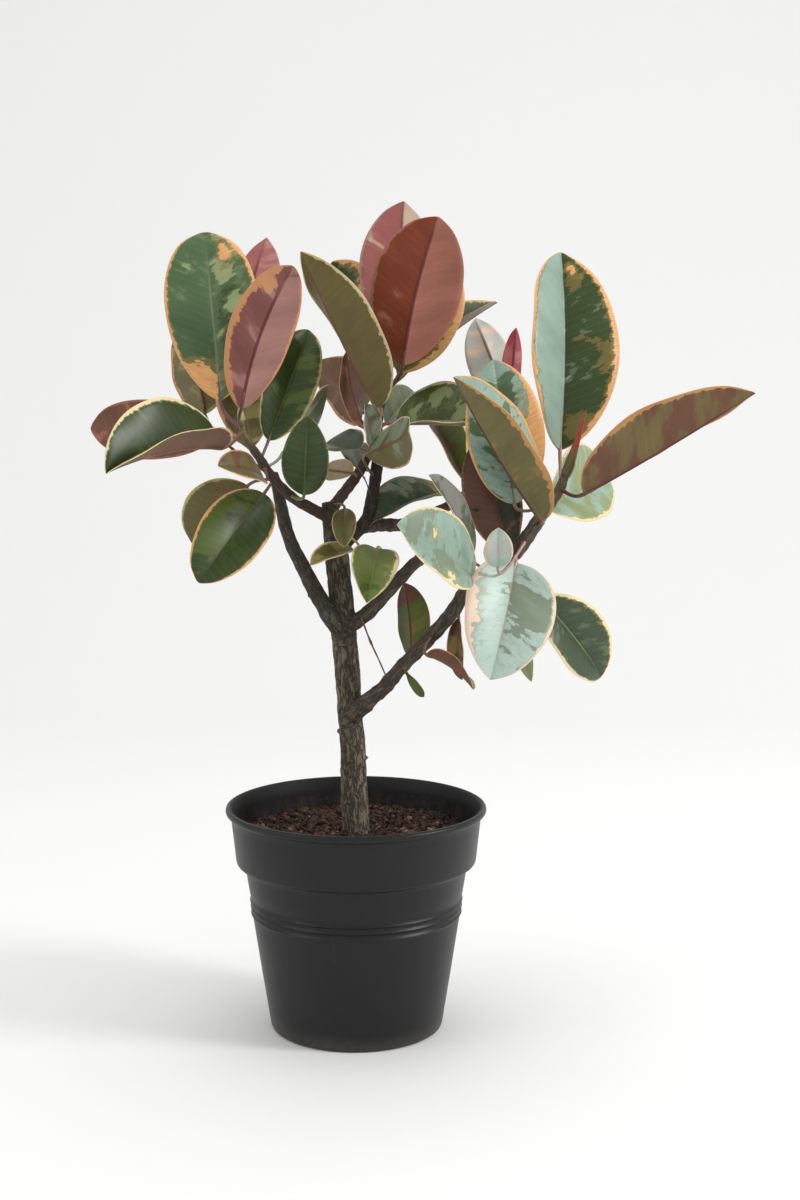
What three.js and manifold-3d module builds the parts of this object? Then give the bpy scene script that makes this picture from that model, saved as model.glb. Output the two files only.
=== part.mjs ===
// A potted variegated rubber plant: nursery pot, soil, bark-covered stems, leaves and end buds.
// Millimetres, +Z up. The middle of the pot's foot is at the origin and the front of the plant is -Y.
import * as THREE from "three";
import Module from "manifold-3d";
import { mergeVertices } from "three/addons/utils/BufferGeometryUtils.js";

// ---- driving sizes -------------------------------------------------------------------------
const POT_HEIGHT = 209;         // foot to top of the rolled rim
const RIM_RADIUS = 120;         // outside of the rolled rim
const BASE_RADIUS = 80;         // outside of the foot
const WALL = 2.4;               // pot wall and floor
const DRAIN_HOLES = 6;
const DRAIN_RADIUS = 6;
const SOIL_BELOW_RIM = 25;      // top of the soil under the top of the rim
const PLANT_HEIGHT = 757;       // floor to the highest leaf tip
const CROWN_SPREAD = 1.0;       // side to side stretch of the crown
const CROWN_DEPTH = 1.6;        // front to back stretch of the crown
const STEM_THICKNESS = 1.0;     // scales every stem radius
const LEAF_WIDTH = 1.0;         // scales every leaf width
const BLADE_THICKNESS = 1.2;
const PETIOLE_RADIUS = 1.7;
const GAP = 0.3;                // clearance left where one piece meets another

const SOIL_TOP = POT_HEIGHT - SOIL_BELOW_RIM;
const RISE = (PLANT_HEIGHT - SOIL_TOP) / 573;

// ---- stems: points up each centre line (x, y, height above the soil, radius) ----------------
// y is stretched by CROWN_DEPTH, x by CROWN_SPREAD and the height by RISE.
const STEMS = {
  trunk: [[0, 0, -34, 13.5], [0, 0, 0, 13], [-2, 2, 41, 12], [-3, 3, 78, 11.6], [-6, 3, 116, 11.2],
    [-8, 2, 152, 11.2], [-11, 0, 188, 11.5], [-14, 0, 226, 11], [-18, 2, 262, 10.3],
    [-22, 2, 292, 8], [-23, 2, 304, 7]],
  left_limb: [[-12, -3, 184, 8.5], [-28, -8, 211, 7.6], [-46, -6, 244, 6.6], [-60, 2, 271, 6],
    [-67, 10, 294, 5.6], [-71, 16, 312, 5.2], [-76, 20, 328, 4.6]],
  left_shoot: [[-24, 0, 290, 5.5], [-40, -8, 300, 5], [-53, -14, 308, 4.5], [-71, -20, 327, 4.2],
    [-83, -22, 345, 3.8], [-97, -22, 367, 3.2], [-99, -22, 380, 2.2]],
  centre_shoot: [[-21, 4, 298, 5.2], [-10, 8, 312, 4.8], [2, 12, 328, 4.6], [12, 14, 346, 4]],
  leader: [[-19, 4, 258, 7], [-4, 8, 272, 6.5], [10, 12, 286, 6], [15, 16, 308, 5.6], [19, 18, 331, 5.4],
    [20, 18, 352, 5], [20, 18, 374, 4.6], [23, 16, 392, 4], [29, 14, 410, 2.6]],
  inner_limb: [[6, 11, 280, 6.2], [22, 22, 280, 6], [46, 34, 279, 5.8], [68, 42, 286, 5.2],
    [88, 46, 296, 4.6], [106, 46, 310, 4], [110, 46, 324, 3]],
  mid_limb: [[-6, -2, 192, 7.4], [11, -6, 204, 6.4], [29, -8, 224, 6], [44, -8, 240, 5.8],
    [54, -6, 250, 5.2], [60, -5, 254, 3.8]],
  low_limb: [[-3, -2, 108, 8], [12, -6, 124, 7.4], [27, -10, 138, 6.6], [41, -14, 156, 6.2],
    [57, -18, 174, 6.2], [74, -22, 193, 6.2], [88, -26, 211, 6.2], [99, -28, 229, 6],
    [114, -30, 244, 5.6], [128, -32, 253, 5.8], [141, -33, 263, 6], [155, -33, 282, 5.8],
    [168, -31, 302, 5.2], [180, -29, 318, 4.6], [186, -27, 332, 3.4]],
};

// ---- buds: the stem, and the tip that the bud points to; base radius -------------------------
const BUDS = {
  bud_left: ["left_shoot", [-99, -24, 400], 3.0],
  bud_right: ["low_limb", [203, -28, 388], 4.2],
};

// ---- leaves ----------------------------------------------------------------------------------
// stem, place along it, start of the blade, tip of the blade, width, then in degrees how far the
// upper side is turned from the front about the midrib, and the fold of each half; in mm the arch
// of the midrib; the twist in degrees; the sideways bow in mm; where the blade is widest (0 to 1).
const LEAVES = {
  leaf_left_01: ["left_shoot", 0.90, [-119, -12, 396], [-135, 16, 545], 84, 6, 8, 5, 0, 0, 0.56],
  leaf_left_02: ["left_shoot", 0.93, [-96, -44, 390], [-48, -72, 509], 58, 188, 20, 6, 0, 6, 0.50],
  leaf_left_03: ["left_shoot", 0.66, [-76, -16, 361], [-42, 8, 458], 52, 10, 25, 3, 0, 0, 0.50],
  leaf_left_04: ["left_shoot", 0.90, [-104, 2, 408], [-84, 56, 544], 58, 165, 14, -6, 0, 4, 0.50],
  leaf_left_05: ["left_limb", 0.98, [-137, 14, 382], [-168, 44, 456], 58, 168, 18, 0, 0, -6, 0.50],
  leaf_left_06: ["left_shoot", 0.88, [-114, -42, 356], [-198, -106, 341], 92, 56, 52, 8, 0, 0, 0.50],
  leaf_left_07: ["left_shoot", 0.68, [-120, -14, 366], [-238, 2, 370], 56, 176, 15, 6, 0, 0, 0.60],
  leaf_left_08: ["left_shoot", 0.50, [-80, -22, 314], [-132, -62, 243], 60, 6, 14, 8, 0, 0, 0.50],
  leaf_left_09: ["left_limb", 0.94, [-100, 24, 316], [-156, 44, 260], 64, 20, 20, 5, 0, 0, 0.50],
  leaf_left_10: ["left_shoot", 0.62, [-78, -36, 328], [-112, -74, 344], 34, 60, 15, 6, 0, 0, 0.50],
  leaf_left_11: ["left_shoot", 0.82, [-92, -6, 354], [-112, 20, 438], 48, 10, 10, -5, 0, 0, 0.50],
  leaf_left_12: ["left_shoot", 0.60, [-66, -10, 346], [-26, 36, 406], 50, 70, 10, 0, 0, 0, 0.50],
  leaf_left_13: ["left_shoot", 0.38, [-44, -28, 314], [-38, -52, 384], 42, 0, 10, 4, 0, 0, 0.48],
  leaf_mid_01: ["leader", 0.97, [43, -12, 427], [73, -44, 552], 82, 180, 14, 6, 0, 4, 0.48],
  leaf_mid_02: ["leader", 0.99, [38, 24, 456], [44, 44, 576], 74, 196, 14, 4, 0, 0, 0.50],
  leaf_mid_03: ["leader", 0.86, [19, -12, 390], [-44, -46, 523], 84, 124, 28, -2, 34, 0, 0.42],
  leaf_mid_04: ["leader", 0.94, [28, 30, 434], [-22, 52, 522], 62, 0, 16, -4, 0, 0, 0.55],
  leaf_mid_05: ["leader", 0.78, [6, 24, 384], [-46, 90, 426], 60, 160, 20, 8, 0, 0, 0.50],
  leaf_mid_06: ["leader", 0.66, [9, 10, 369], [-7, 4, 440], 40, -100, 20, 4, 0, 0, 0.50],
  leaf_mid_07: ["leader", 0.57, [16, 2, 354], [9, -10, 392], 34, 60, 16, 0, 0, 0, 0.50],
  leaf_mid_08: ["leader", 0.92, [40, 22, 414], [131, 52, 484], 64, -66, 32, 4, 0, 0, 0.50],
  leaf_mid_09: ["leader", 0.95, [40, 10, 420], [84, 18, 522], 70, 0, 20, 0, 0, 0, 0.50],
  leaf_mid_10: ["leader", 0.72, [27, 24, 373], [52, 60, 402], 40, 0, 20, 0, 0, 0, 0.50],
  leaf_mid_11: ["leader", 0.46, [10, -6, 348], [48, -56, 372], 46, 150, 20, 6, 0, 0, 0.50],
  leaf_mid_12: ["leader", 0.58, [4, 22, 350], [-30, 56, 352], 44, 60, 20, 0, 0, 0, 0.50],
  leaf_mid_13: ["leader", 0.50, [4, 34, 332], [-6, 74, 352], 30, 20, 20, 0, 0, 0, 0.50],
  leaf_mid_14: ["centre_shoot", 0.60, [-2, 0, 330], [-28, -24, 336], 26, 150, 10, 0, 0, 0, 0.50],
  leaf_mid_15: ["trunk", 0.97, [-9, -14, 300], [-8, -46, 271], 22, 0, 10, 4, 0, 0, 0.50],
  leaf_right_01: ["low_limb", 0.95, [183, -10, 352], [187, 26, 528], 100, 26, 24, 6, 0, 0, 0.50],
  leaf_right_02: ["low_limb", 0.94, [200, -40, 316], [342, -56, 404], 92, -126, 28, -2, 0, 0, 0.45],
  leaf_right_03: ["low_limb", 0.92, [174, -8, 298], [232, 58, 330], 74, 0, 14, 4, 0, 0, 0.55],
  leaf_right_04: ["low_limb", 0.84, [163, -42, 293], [85, -76, 418], 96, 84, 44, -3, 0, 0, 0.46],
  leaf_right_05: ["leader", 0.74, [37, 6, 374], [132, 4, 370], 90, -64, 30, 2, 0, 0, 0.46],
  leaf_right_06: ["low_limb", 0.71, [139, -14, 260], [113, -2, 364], 56, -20, 16, 4, 0, 0, 0.50],
  leaf_right_07: ["inner_limb", 0.93, [101, 52, 317], [60, 76, 388], 50, 50, 28, 4, 0, 0, 0.50],
  leaf_right_08: ["inner_limb", 0.97, [105, 44, 326], [107, 60, 400], 34, 40, 28, 4, 0, 0, 0.50],
  leaf_right_09: ["inner_limb", 0.94, [144, 54, 388], [113, 84, 470], 48, 190, 14, 0, 0, 0, 0.50],
  leaf_right_10: ["inner_limb", 0.98, [142, 38, 384], [150, 60, 461], 22, 200, 20, 0, 0, 0, 0.50],
  leaf_right_11: ["low_limb", 0.60, [104, -34, 258], [65, -54, 334], 46, 72, 20, 4, 0, 0, 0.50],
  leaf_right_12: ["low_limb", 0.56, [103, -60, 246], [38, -98, 298], 68, 46, 18, 5, 0, 0, 0.50],
  leaf_right_13: ["inner_limb", 0.75, [84, 30, 308], [14, 10, 283], 62, 64, 28, 6, 0, 0, 0.50],
  leaf_right_14: ["low_limb", 0.71, [141, -42, 256], [117, -74, 162], 84, -8, 16, 6, 0, 0, 0.42],
  leaf_right_15: ["low_limb", 0.78, [124, -62, 256], [123, -76, 292], 26, 0, 14, 2, 0, 0, 0.50],
  leaf_right_16: ["low_limb", 0.66, [166, -14, 220], [226, 10, 142], 64, -28, 22, 5, 0, 0, 0.50],
  leaf_right_17: ["low_limb", 0.36, [64, -30, 172], [104, -54, 148], 34, -110, 24, 4, 0, 0, 0.50],
  leaf_right_18: ["low_limb", 0.28, [50, -6, 166], [44, 14, 228], 38, 150, 24, 4, 0, 0, 0.50],
  leaf_right_19: ["mid_limb", 0.50, [20, -24, 265], [12, -66, 226], 44, 0, 18, 8, 0, 0, 0.42],
  leaf_right_20: ["trunk", 0.86, [0, -18, 263], [-38, -36, 253], 26, 56, 26, 4, 0, 0, 0.50],
};

// ---- materials -------------------------------------------------------------------------------
const mat = (name, color, roughness) =>
  Object.assign(new THREE.MeshStandardMaterial({ color, roughness, metalness: 0 }), { name });
const MATERIALS = {
  plastic: mat("pot_plastic", 0x2b2b2c, 0.45),
  soil: mat("soil", 0x4a2e20, 0.95),
  bark: mat("bark", 0x4e453b, 0.85),
  leaf: mat("leaf", 0x5a7a4c, 0.4),
  bud: mat("bud", 0x8a3a2c, 0.45),
};

// ---- small helpers ---------------------------------------------------------------------------
const wasm = await Module();
wasm.setup();

const V = (x, y, z) => new THREE.Vector3(x, y, z);
const place = ([x, y, h]) => V(x * CROWN_SPREAD, y * CROWN_DEPTH, SOIL_TOP + h * RISE);
const degrees = (a) => (a * Math.PI) / 180;
const combine = (...pairs) => {
  const sum = V(0, 0, 0);
  for (let i = 0; i < pairs.length; i += 2) sum.addScaledVector(pairs[i + 1], pairs[i]);
  return sum;
};

// Points and triangles become one closed manifold solid that is the right way out.
function toSolid(points, triangles) {
  const geometry = new THREE.BufferGeometry();
  geometry.setAttribute("position", new THREE.Float32BufferAttribute(points.flatMap((p) => p.toArray()), 3));
  geometry.setIndex(triangles.flat());
  return geometryToSolid(geometry);
}

function geometryToSolid(source) {
  const bare = new THREE.BufferGeometry();
  bare.setAttribute("position", source.getAttribute("position"));
  if (source.index) bare.setIndex(source.index);
  const merged = mergeVertices(bare, 1e-3);
  const p = merged.getAttribute("position").array;
  const corners = merged.index.array;
  let kept = [];
  let volume = 0;
  for (let i = 0; i < corners.length; i += 3) {
    const [a, b, c] = [corners[i], corners[i + 1], corners[i + 2]];
    if (a === b || b === c || c === a) continue;
    kept.push(a, b, c);
    const [A, B, C] = [a, b, c].map((k) => V(p[3 * k], p[3 * k + 1], p[3 * k + 2]));
    volume += A.dot(B.cross(C));
  }
  if (volume < 0) kept = kept.reverse();
  return new wasm.Manifold(new wasm.Mesh({
    numProp: 3, vertProperties: new Float32Array(p), triVerts: new Uint32Array(kept),
  }));
}

function solidToGeometry(solid) {
  const mesh = solid.getMesh();
  const geometry = new THREE.BufferGeometry();
  geometry.setAttribute("position", new THREE.BufferAttribute(new Float32Array(mesh.vertProperties), 3));
  geometry.setIndex(new THREE.BufferAttribute(new Uint32Array(mesh.triVerts), 1));
  const flat = geometry.toNonIndexed();
  flat.computeVertexNormals();
  return flat;
}

// A cut can leave loose crumbs: only the largest body is the piece.
function largest(solid) {
  const bodies = solid.decompose();
  return bodies.reduce((best, body) => (body.volume() > best.volume() ? body : best));
}

// Two boxes that touch, with the clearance added.
function near(a, b) {
  const p = a.boundingBox();
  const q = b.boundingBox();
  return [0, 1, 2].every((k) => p.min[k] < q.max[k] + GAP && q.min[k] < p.max[k] + GAP);
}

// ---- round sweeps: stems, petioles and buds --------------------------------------------------
function sweep(centre, radii, sides) {
  const points = [];
  const triangles = [];
  const last = centre.length - 1;
  let side = V(0, 1, 0);
  centre.forEach((at, i) => {
    const along = centre[Math.min(i + 1, last)].clone().sub(centre[Math.max(i - 1, 0)]).normalize();
    side.addScaledVector(along, -side.dot(along)).normalize();
    const other = along.clone().cross(side);
    for (let k = 0; k < sides; k += 1) {
      const turn = (2 * Math.PI * k) / sides;
      points.push(combine(1, at, radii[i] * Math.cos(turn), side, radii[i] * Math.sin(turn), other));
    }
  });
  for (let i = 0; i < last; i += 1) {
    for (let k = 0; k < sides; k += 1) {
      const [a, b] = [i * sides + k, i * sides + ((k + 1) % sides)];
      triangles.push([a, b, b + sides], [a, b + sides, a + sides]);
    }
  }
  const [first, end] = [points.length, points.length + 1];
  points.push(centre[0].clone(), centre[last].clone());
  for (let k = 0; k < sides; k += 1) {
    const next = (k + 1) % sides;
    triangles.push([first, next, k], [end, last * sides + k, last * sides + next]);
  }
  return toSolid(points, triangles);
}

// A smooth line through a stem's points; a radius goes with every point of it.
function stemLine(name) {
  const rows = STEMS[name];
  const curve = new THREE.CatmullRomCurve3(rows.map((row) => place(row)));
  const steps = (rows.length - 1) * 2;
  const centre = [];
  const radii = [];
  for (let i = 0; i <= steps; i += 1) {
    centre.push(curve.getPoint(i / steps));
    const k = Math.min(Math.floor(i / 2), rows.length - 2);
    const mix = i / 2 - k;
    radii.push(STEM_THICKNESS * (rows[k][3] * (1 - mix) + rows[k + 1][3] * mix));
  }
  return { curve, centre, radii };
}

function stemSolid(name, grow = 0) {
  const { centre, radii } = stemLine(name);
  const points = centre.map((p) => p.clone());
  const end = points.length - 1;
  const pull = (i, from) => points[i].addScaledVector(points[i].clone().sub(points[from]).normalize(), grow);
  pull(0, 1);
  pull(end, end - 1);
  return sweep(points, radii.map((r) => r + grow), name === "trunk" ? 14 : 10);
}

// ---- leaves ----------------------------------------------------------------------------------
const BLADE_STEPS = 7;          // rows from the start of the blade to its tip
const HALF_STEPS = 2;           // columns in each half of the blade

// The blade's half width at a place along it: rounded at the start, drawn to a point at the tip.
function halfWidth(width, widest, s) {
  const [p, q] = [1.3 * widest, 1.3 * (1 - widest)];
  const shape = (s ** p * (1 - s) ** q) / (widest ** p * (1 - widest) ** q);
  return Math.max((width / 2) * shape, s < 0.5 ? 1.6 : 0.6);
}

function bladeSolid(spec, grow) {
  const [, , from, to, width, face, fold, arch, twist, bow, widest] = spec;
  const [start, tip] = [place(from), place(to)];
  const along = tip.clone().sub(start).normalize();
  const front = V(0, -1, 0).addScaledVector(along, along.y).normalize();
  const across = along.clone().cross(front);
  const up = combine(Math.cos(degrees(face)), front, Math.sin(degrees(face)), across);
  const right = along.clone().cross(up);
  const bend = combine(0.5, start, 0.5, tip, 2 * arch, up, 2 * bow, right);
  const points = [];
  const columns = 2 * HALF_STEPS + 1;
  for (let i = 0; i <= BLADE_STEPS; i += 1) {
    const s = i / BLADE_STEPS;
    const mid = combine((1 - s) ** 2, start, 2 * s * (1 - s), bend, s * s, tip);
    const ahead = combine(-2 * (1 - s), start, 2 - 4 * s, bend, 2 * s, tip).normalize();
    if (i === 0) mid.addScaledVector(ahead, -grow);
    if (i === BLADE_STEPS) mid.addScaledVector(ahead, grow);
    const lean = degrees(twist) * (s - 0.5);
    const top = up.clone().addScaledVector(ahead, -up.dot(ahead)).normalize().applyAxisAngle(ahead, lean);
    const out = ahead.clone().cross(top);
    const half = halfWidth(width * LEAF_WIDTH, widest, s) + grow;
    const thick = BLADE_THICKNESS / 2 + grow;
    const [c, d] = [Math.cos(degrees(fold)), Math.sin(degrees(fold))];
    for (const layer of [1, -1]) {
      for (let j = -HALF_STEPS; j <= HALF_STEPS; j += 1) {
        const reach = (half * Math.abs(j)) / HALF_STEPS;
        const sign = Math.sign(j);
        points.push(combine(1, mid, sign * reach * c, out, reach * d, top,
          layer * thick * (j === 0 ? 1 / c : c), top, -layer * thick * sign * d, out));
      }
    }
  }
  const at = (i, layer, j) => i * 2 * columns + layer * columns + j;
  const triangles = [];
  const quad = (a, b, c, d) => triangles.push([a, b, c], [a, c, d]);
  for (let i = 0; i < BLADE_STEPS; i += 1) {
    for (let j = 0; j < columns - 1; j += 1) {
      quad(at(i, 0, j), at(i, 0, j + 1), at(i + 1, 0, j + 1), at(i + 1, 0, j));
      quad(at(i, 1, j), at(i + 1, 1, j), at(i + 1, 1, j + 1), at(i, 1, j + 1));
    }
    quad(at(i, 0, 0), at(i + 1, 0, 0), at(i + 1, 1, 0), at(i, 1, 0));
    const e = columns - 1;
    quad(at(i, 0, e), at(i, 1, e), at(i + 1, 1, e), at(i + 1, 0, e));
  }
  for (let j = 0; j < columns - 1; j += 1) {
    quad(at(0, 0, j), at(0, 1, j), at(0, 1, j + 1), at(0, 0, j + 1));
    const n = BLADE_STEPS;
    quad(at(n, 0, j), at(n, 0, j + 1), at(n, 1, j + 1), at(n, 1, j));
  }
  return { solid: toSolid(points, triangles), start, along, up };
}

// The stalk bends from the stem to the start of the blade and runs a little way under it.
function petioleSolid(spec, blade, grow) {
  const [stem, where] = spec;
  const root = stemLine(stem).curve.getPoint(where);
  const span = root.distanceTo(blade.start);
  const ease = combine(1, blade.start, -0.4 * span, blade.along);
  const run = new THREE.QuadraticBezierCurve3(root, ease, blade.start);
  const centre = run.getPoints(3);
  centre.push(combine(1, blade.start, 7, blade.along));
  return sweep(centre, centre.map((p, i) => PETIOLE_RADIUS * (i === 4 ? 0.6 : 1) + grow), 6);
}

function leafSolid(spec, grow = 0) {
  const blade = bladeSolid(spec, grow);
  return blade.solid.add(petioleSolid(spec, blade, grow));
}

function budSolid([stem, tip, radius], grow = 0) {
  const { centre } = stemLine(stem);
  const root = centre[centre.length - 1];
  const end = place(tip);
  const shape = [[-0.04, 1], [0.12, 1.1], [0.3, 1.05], [0.55, 0.8], [0.8, 0.45], [1, 0.16]];
  const line = shape.map(([s]) => root.clone().lerp(end, s));
  return sweep(line, shape.map(([, r]) => radius * r + grow), 8);
}

// ---- pot and soil ----------------------------------------------------------------------------
// The outside of the pot from its foot to the rim: radius and height.
function potOutside() {
  const [b, r, h] = [BASE_RADIUS, RIM_RADIUS, POT_HEIGHT];
  return [
    [b - 3, 0], [b - 1, 1], [b, 4], [r * 0.8, h * 0.515],
    [r * 0.81, h * 0.522], [r * 0.802, h * 0.541], [r * 0.813, h * 0.549], [r * 0.806, h * 0.57],
    [r * 0.817, h * 0.578], [r * 0.81, h * 0.6], [r * 0.82, h * 0.61],
    [r * 0.85, h * 0.718], [r * 0.865, h * 0.738], [r * 0.915, h * 0.753], [r * 0.925, h * 0.765],
    [r * 0.955, h * 0.938], [r * 0.985, h * 0.95], [r, h * 0.968], [r * 0.998, h * 0.988],
    [r * 0.98, h],
  ];
}

function lathe(profile, segments) {
  const shape = new THREE.LatheGeometry(profile.map(([x, y]) => new THREE.Vector2(x, y)), segments);
  shape.rotateX(Math.PI / 2);
  return geometryToSolid(shape);
}

// Inside of the pot: the outside moved in by the wall, without the small ribs.
function potInside(inset) {
  const [b, r, h] = [BASE_RADIUS - WALL, RIM_RADIUS, POT_HEIGHT];
  return [
    [b - 1 - inset, WALL + inset], [r * 0.792 - WALL - inset, h * 0.515],
    [r * 0.85 - WALL - inset, h * 0.722], [r * 0.915 - WALL - inset, h * 0.762],
    [r * 0.95 - WALL - inset, h * 0.935], [r * 0.955 - WALL - inset, h],
  ];
}

function potSolid() {
  const inside = potInside(0);
  const profile = [[0, 0], ...potOutside(), ...inside.reverse(), [0, WALL], [0, 0]];
  let pot = lathe(profile, 48);
  for (let i = 0; i < DRAIN_HOLES; i += 1) {
    const turn = (2 * Math.PI * i) / DRAIN_HOLES;
    const [x, y] = [0.7 * BASE_RADIUS * Math.cos(turn), 0.7 * BASE_RADIUS * Math.sin(turn)];
    pot = pot.subtract(sweep([V(x, y, -2), V(x, y, WALL + 2)], [DRAIN_RADIUS, DRAIN_RADIUS], 16));
  }
  return pot;
}

// Soil fills the pot to a gently uneven top, level with SOIL_TOP where the trunk comes out.
function soilSolid() {
  const walls = potInside(GAP).map(([x, z]) => [x, z]);
  const side = walls.filter(([, z]) => z < SOIL_TOP - 4);
  const [x0, z0] = side[side.length - 1];
  const [x1, z1] = walls[side.length];
  const edge = x0 + ((x1 - x0) * (SOIL_TOP - 3 - z0)) / (z1 - z0);
  const top = [[edge, SOIL_TOP - 3], [edge * 0.75, SOIL_TOP + 1], [edge * 0.45, SOIL_TOP - 1]];
  return lathe([[0, WALL + GAP], ...side, ...top, [0, SOIL_TOP], [0, WALL + GAP]], 48);
}

// ---- put it together -------------------------------------------------------------------------
const group = new THREE.Group();
group.name = "potted_rubber_plant";
const pieces = [];

function keep(name, material, solid, keepout) {
  const mesh = new THREE.Mesh(solidToGeometry(solid), material);
  mesh.name = name;
  group.add(mesh);
  pieces.push({ name, keepout });
}

// Each piece gives way, by the clearance, to every piece placed before it.
function addPiece(name, material, make) {
  let solid = make(0);
  for (const { keepout } of pieces) {
    if (keepout && near(keepout, solid)) solid = solid.subtract(keepout);
  }
  keep(name, material, largest(solid), make(GAP));
}

keep("pot", MATERIALS.plastic, potSolid(), null);
for (const name of Object.keys(STEMS)) addPiece(name, MATERIALS.bark, (grow) => stemSolid(name, grow));
const trunkHole = stemSolid("trunk", GAP);
keep("soil", MATERIALS.soil, largest(soilSolid().subtract(trunkHole)), null);
for (const [name, row] of Object.entries(BUDS)) {
  addPiece(name, MATERIALS.bud, (grow) => budSolid(row, grow));
}
for (const [name, row] of Object.entries(LEAVES)) {
  addPiece(name, MATERIALS.leaf, (grow) => leafSolid(row, grow));
}

export default group;
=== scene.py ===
import math
import random

import bmesh
import bpy
import numpy as np
from mathutils import Matrix, Vector, kdtree, noise


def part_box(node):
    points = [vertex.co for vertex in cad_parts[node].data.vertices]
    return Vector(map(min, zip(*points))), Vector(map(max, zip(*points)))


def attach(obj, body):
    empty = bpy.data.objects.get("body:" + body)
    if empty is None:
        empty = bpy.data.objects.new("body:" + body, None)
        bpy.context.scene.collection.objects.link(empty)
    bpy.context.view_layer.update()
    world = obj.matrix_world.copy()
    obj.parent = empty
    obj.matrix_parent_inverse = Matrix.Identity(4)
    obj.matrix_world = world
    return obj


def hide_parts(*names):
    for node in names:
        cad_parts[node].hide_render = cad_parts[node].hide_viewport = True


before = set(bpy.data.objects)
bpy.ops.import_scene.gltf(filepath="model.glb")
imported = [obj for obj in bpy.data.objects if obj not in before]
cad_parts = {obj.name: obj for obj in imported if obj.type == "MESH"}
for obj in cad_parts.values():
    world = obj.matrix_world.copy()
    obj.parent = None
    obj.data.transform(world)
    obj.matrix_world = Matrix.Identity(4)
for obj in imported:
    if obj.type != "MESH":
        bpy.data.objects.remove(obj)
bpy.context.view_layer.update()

bl_info = {
    "name": "Potted rubber plant",
    "version": (1, 0, 0),
    "blender": (4, 5, 0),
    "location": "3D View > Sidebar > Rubber plant",
    "description": "A variegated rubber plant in a nursery pot",
    "category": "Add Mesh",
}

# All tables are in millimetres; MM turns them into metres.
MM = 0.001
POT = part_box("pot")
SOIL_TOP = 184.0        # height of the soil where the trunk comes out
DEPTH = 1.6             # front to back stretch of the crown
ABOUT_A_TURN = 6.28     # radians, the range of every random turn and phase

# Points up each stem: x, y, height above the soil, radius.
STEMS = {
    "trunk": [(0, 0, -34, 13.5), (0, 0, 0, 13), (-2, 2, 41, 12), (-3, 3, 78, 11.6), (-6, 3, 116, 11.2),
              (-8, 2, 152, 11.2), (-11, 0, 188, 11.5), (-14, 0, 226, 11), (-18, 2, 262, 10.3),
              (-22, 2, 292, 8), (-23, 2, 304, 7)],
    "left_limb": [(-12, -3, 184, 8.5), (-28, -8, 211, 7.6), (-46, -6, 244, 6.6), (-60, 2, 271, 6),
                  (-67, 10, 294, 5.6), (-71, 16, 312, 5.2), (-76, 20, 328, 4.6)],
    "left_shoot": [(-24, 0, 290, 5.5), (-40, -8, 300, 5), (-53, -14, 308, 4.5), (-71, -20, 327, 4.2),
                   (-83, -22, 345, 3.8), (-97, -22, 367, 3.2), (-99, -22, 380, 2.2)],
    "centre_shoot": [(-21, 4, 298, 5.2), (-10, 8, 312, 4.8), (2, 12, 328, 4.6), (12, 14, 346, 4)],
    "leader": [(-19, 4, 258, 7), (-4, 8, 272, 6.5), (10, 12, 286, 6), (15, 16, 308, 5.6), (19, 18, 331, 5.4),
               (20, 18, 352, 5), (20, 18, 374, 4.6), (23, 16, 392, 4), (29, 14, 410, 2.6)],
    "inner_limb": [(6, 11, 280, 6.2), (22, 22, 280, 6), (46, 34, 279, 5.8), (68, 42, 286, 5.2),
                   (88, 46, 296, 4.6), (106, 46, 310, 4), (110, 46, 324, 3)],
    "mid_limb": [(-6, -2, 192, 7.4), (11, -6, 204, 6.4), (29, -8, 224, 6), (44, -8, 240, 5.8),
                 (54, -6, 250, 5.2), (60, -5, 254, 3.8)],
    "low_limb": [(-3, -2, 108, 8), (12, -6, 124, 7.4), (27, -10, 138, 6.6), (41, -14, 156, 6.2),
                 (57, -18, 174, 6.2), (74, -22, 193, 6.2), (88, -26, 211, 6.2), (99, -28, 229, 6),
                 (114, -30, 244, 5.6), (128, -32, 253, 5.8), (141, -33, 263, 6), (155, -33, 282, 5.8),
                 (168, -31, 302, 5.2), (180, -29, 318, 4.6), (186, -27, 332, 3.4)],
}

# The bark of each stem: colour at its root and at its end, where along it the end colour begins,
# distance between leaf scars, how knobbly.
BARK = {
    "trunk": ("#7a6f5d", "#4f473c", 0.05, 26, 0.04),
    "left_limb": ("#453e34", "#3f372d", 0.3, 17, 0.07),
    "left_shoot": ("#46332b", "#93984f", 0.72, 9, 0.10),
    "centre_shoot": ("#52392f", "#44302a", 0.3, 8, 0.14),
    "leader": ("#332a24", "#565032", 0.6, 12, 0.09),
    "inner_limb": ("#45322a", "#66523e", 0.2, 10, 0.12),
    "mid_limb": ("#4d453a", "#6a5040", 0.7, 13, 0.10),
    "low_limb": ("#51483d", "#6a5a38", 0.72, 11, 0.12),
}

# End buds: stem, tip, base radius, colours at the base and the tip.
BUDS = {
    "bud_left": ("left_shoot", (-99, -24, 400), 3.0, "#9aa566", "#b59a6c"),
    "bud_right": ("low_limb", (203, -28, 388), 4.2, "#59552c", "#a5342a"),
}

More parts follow.
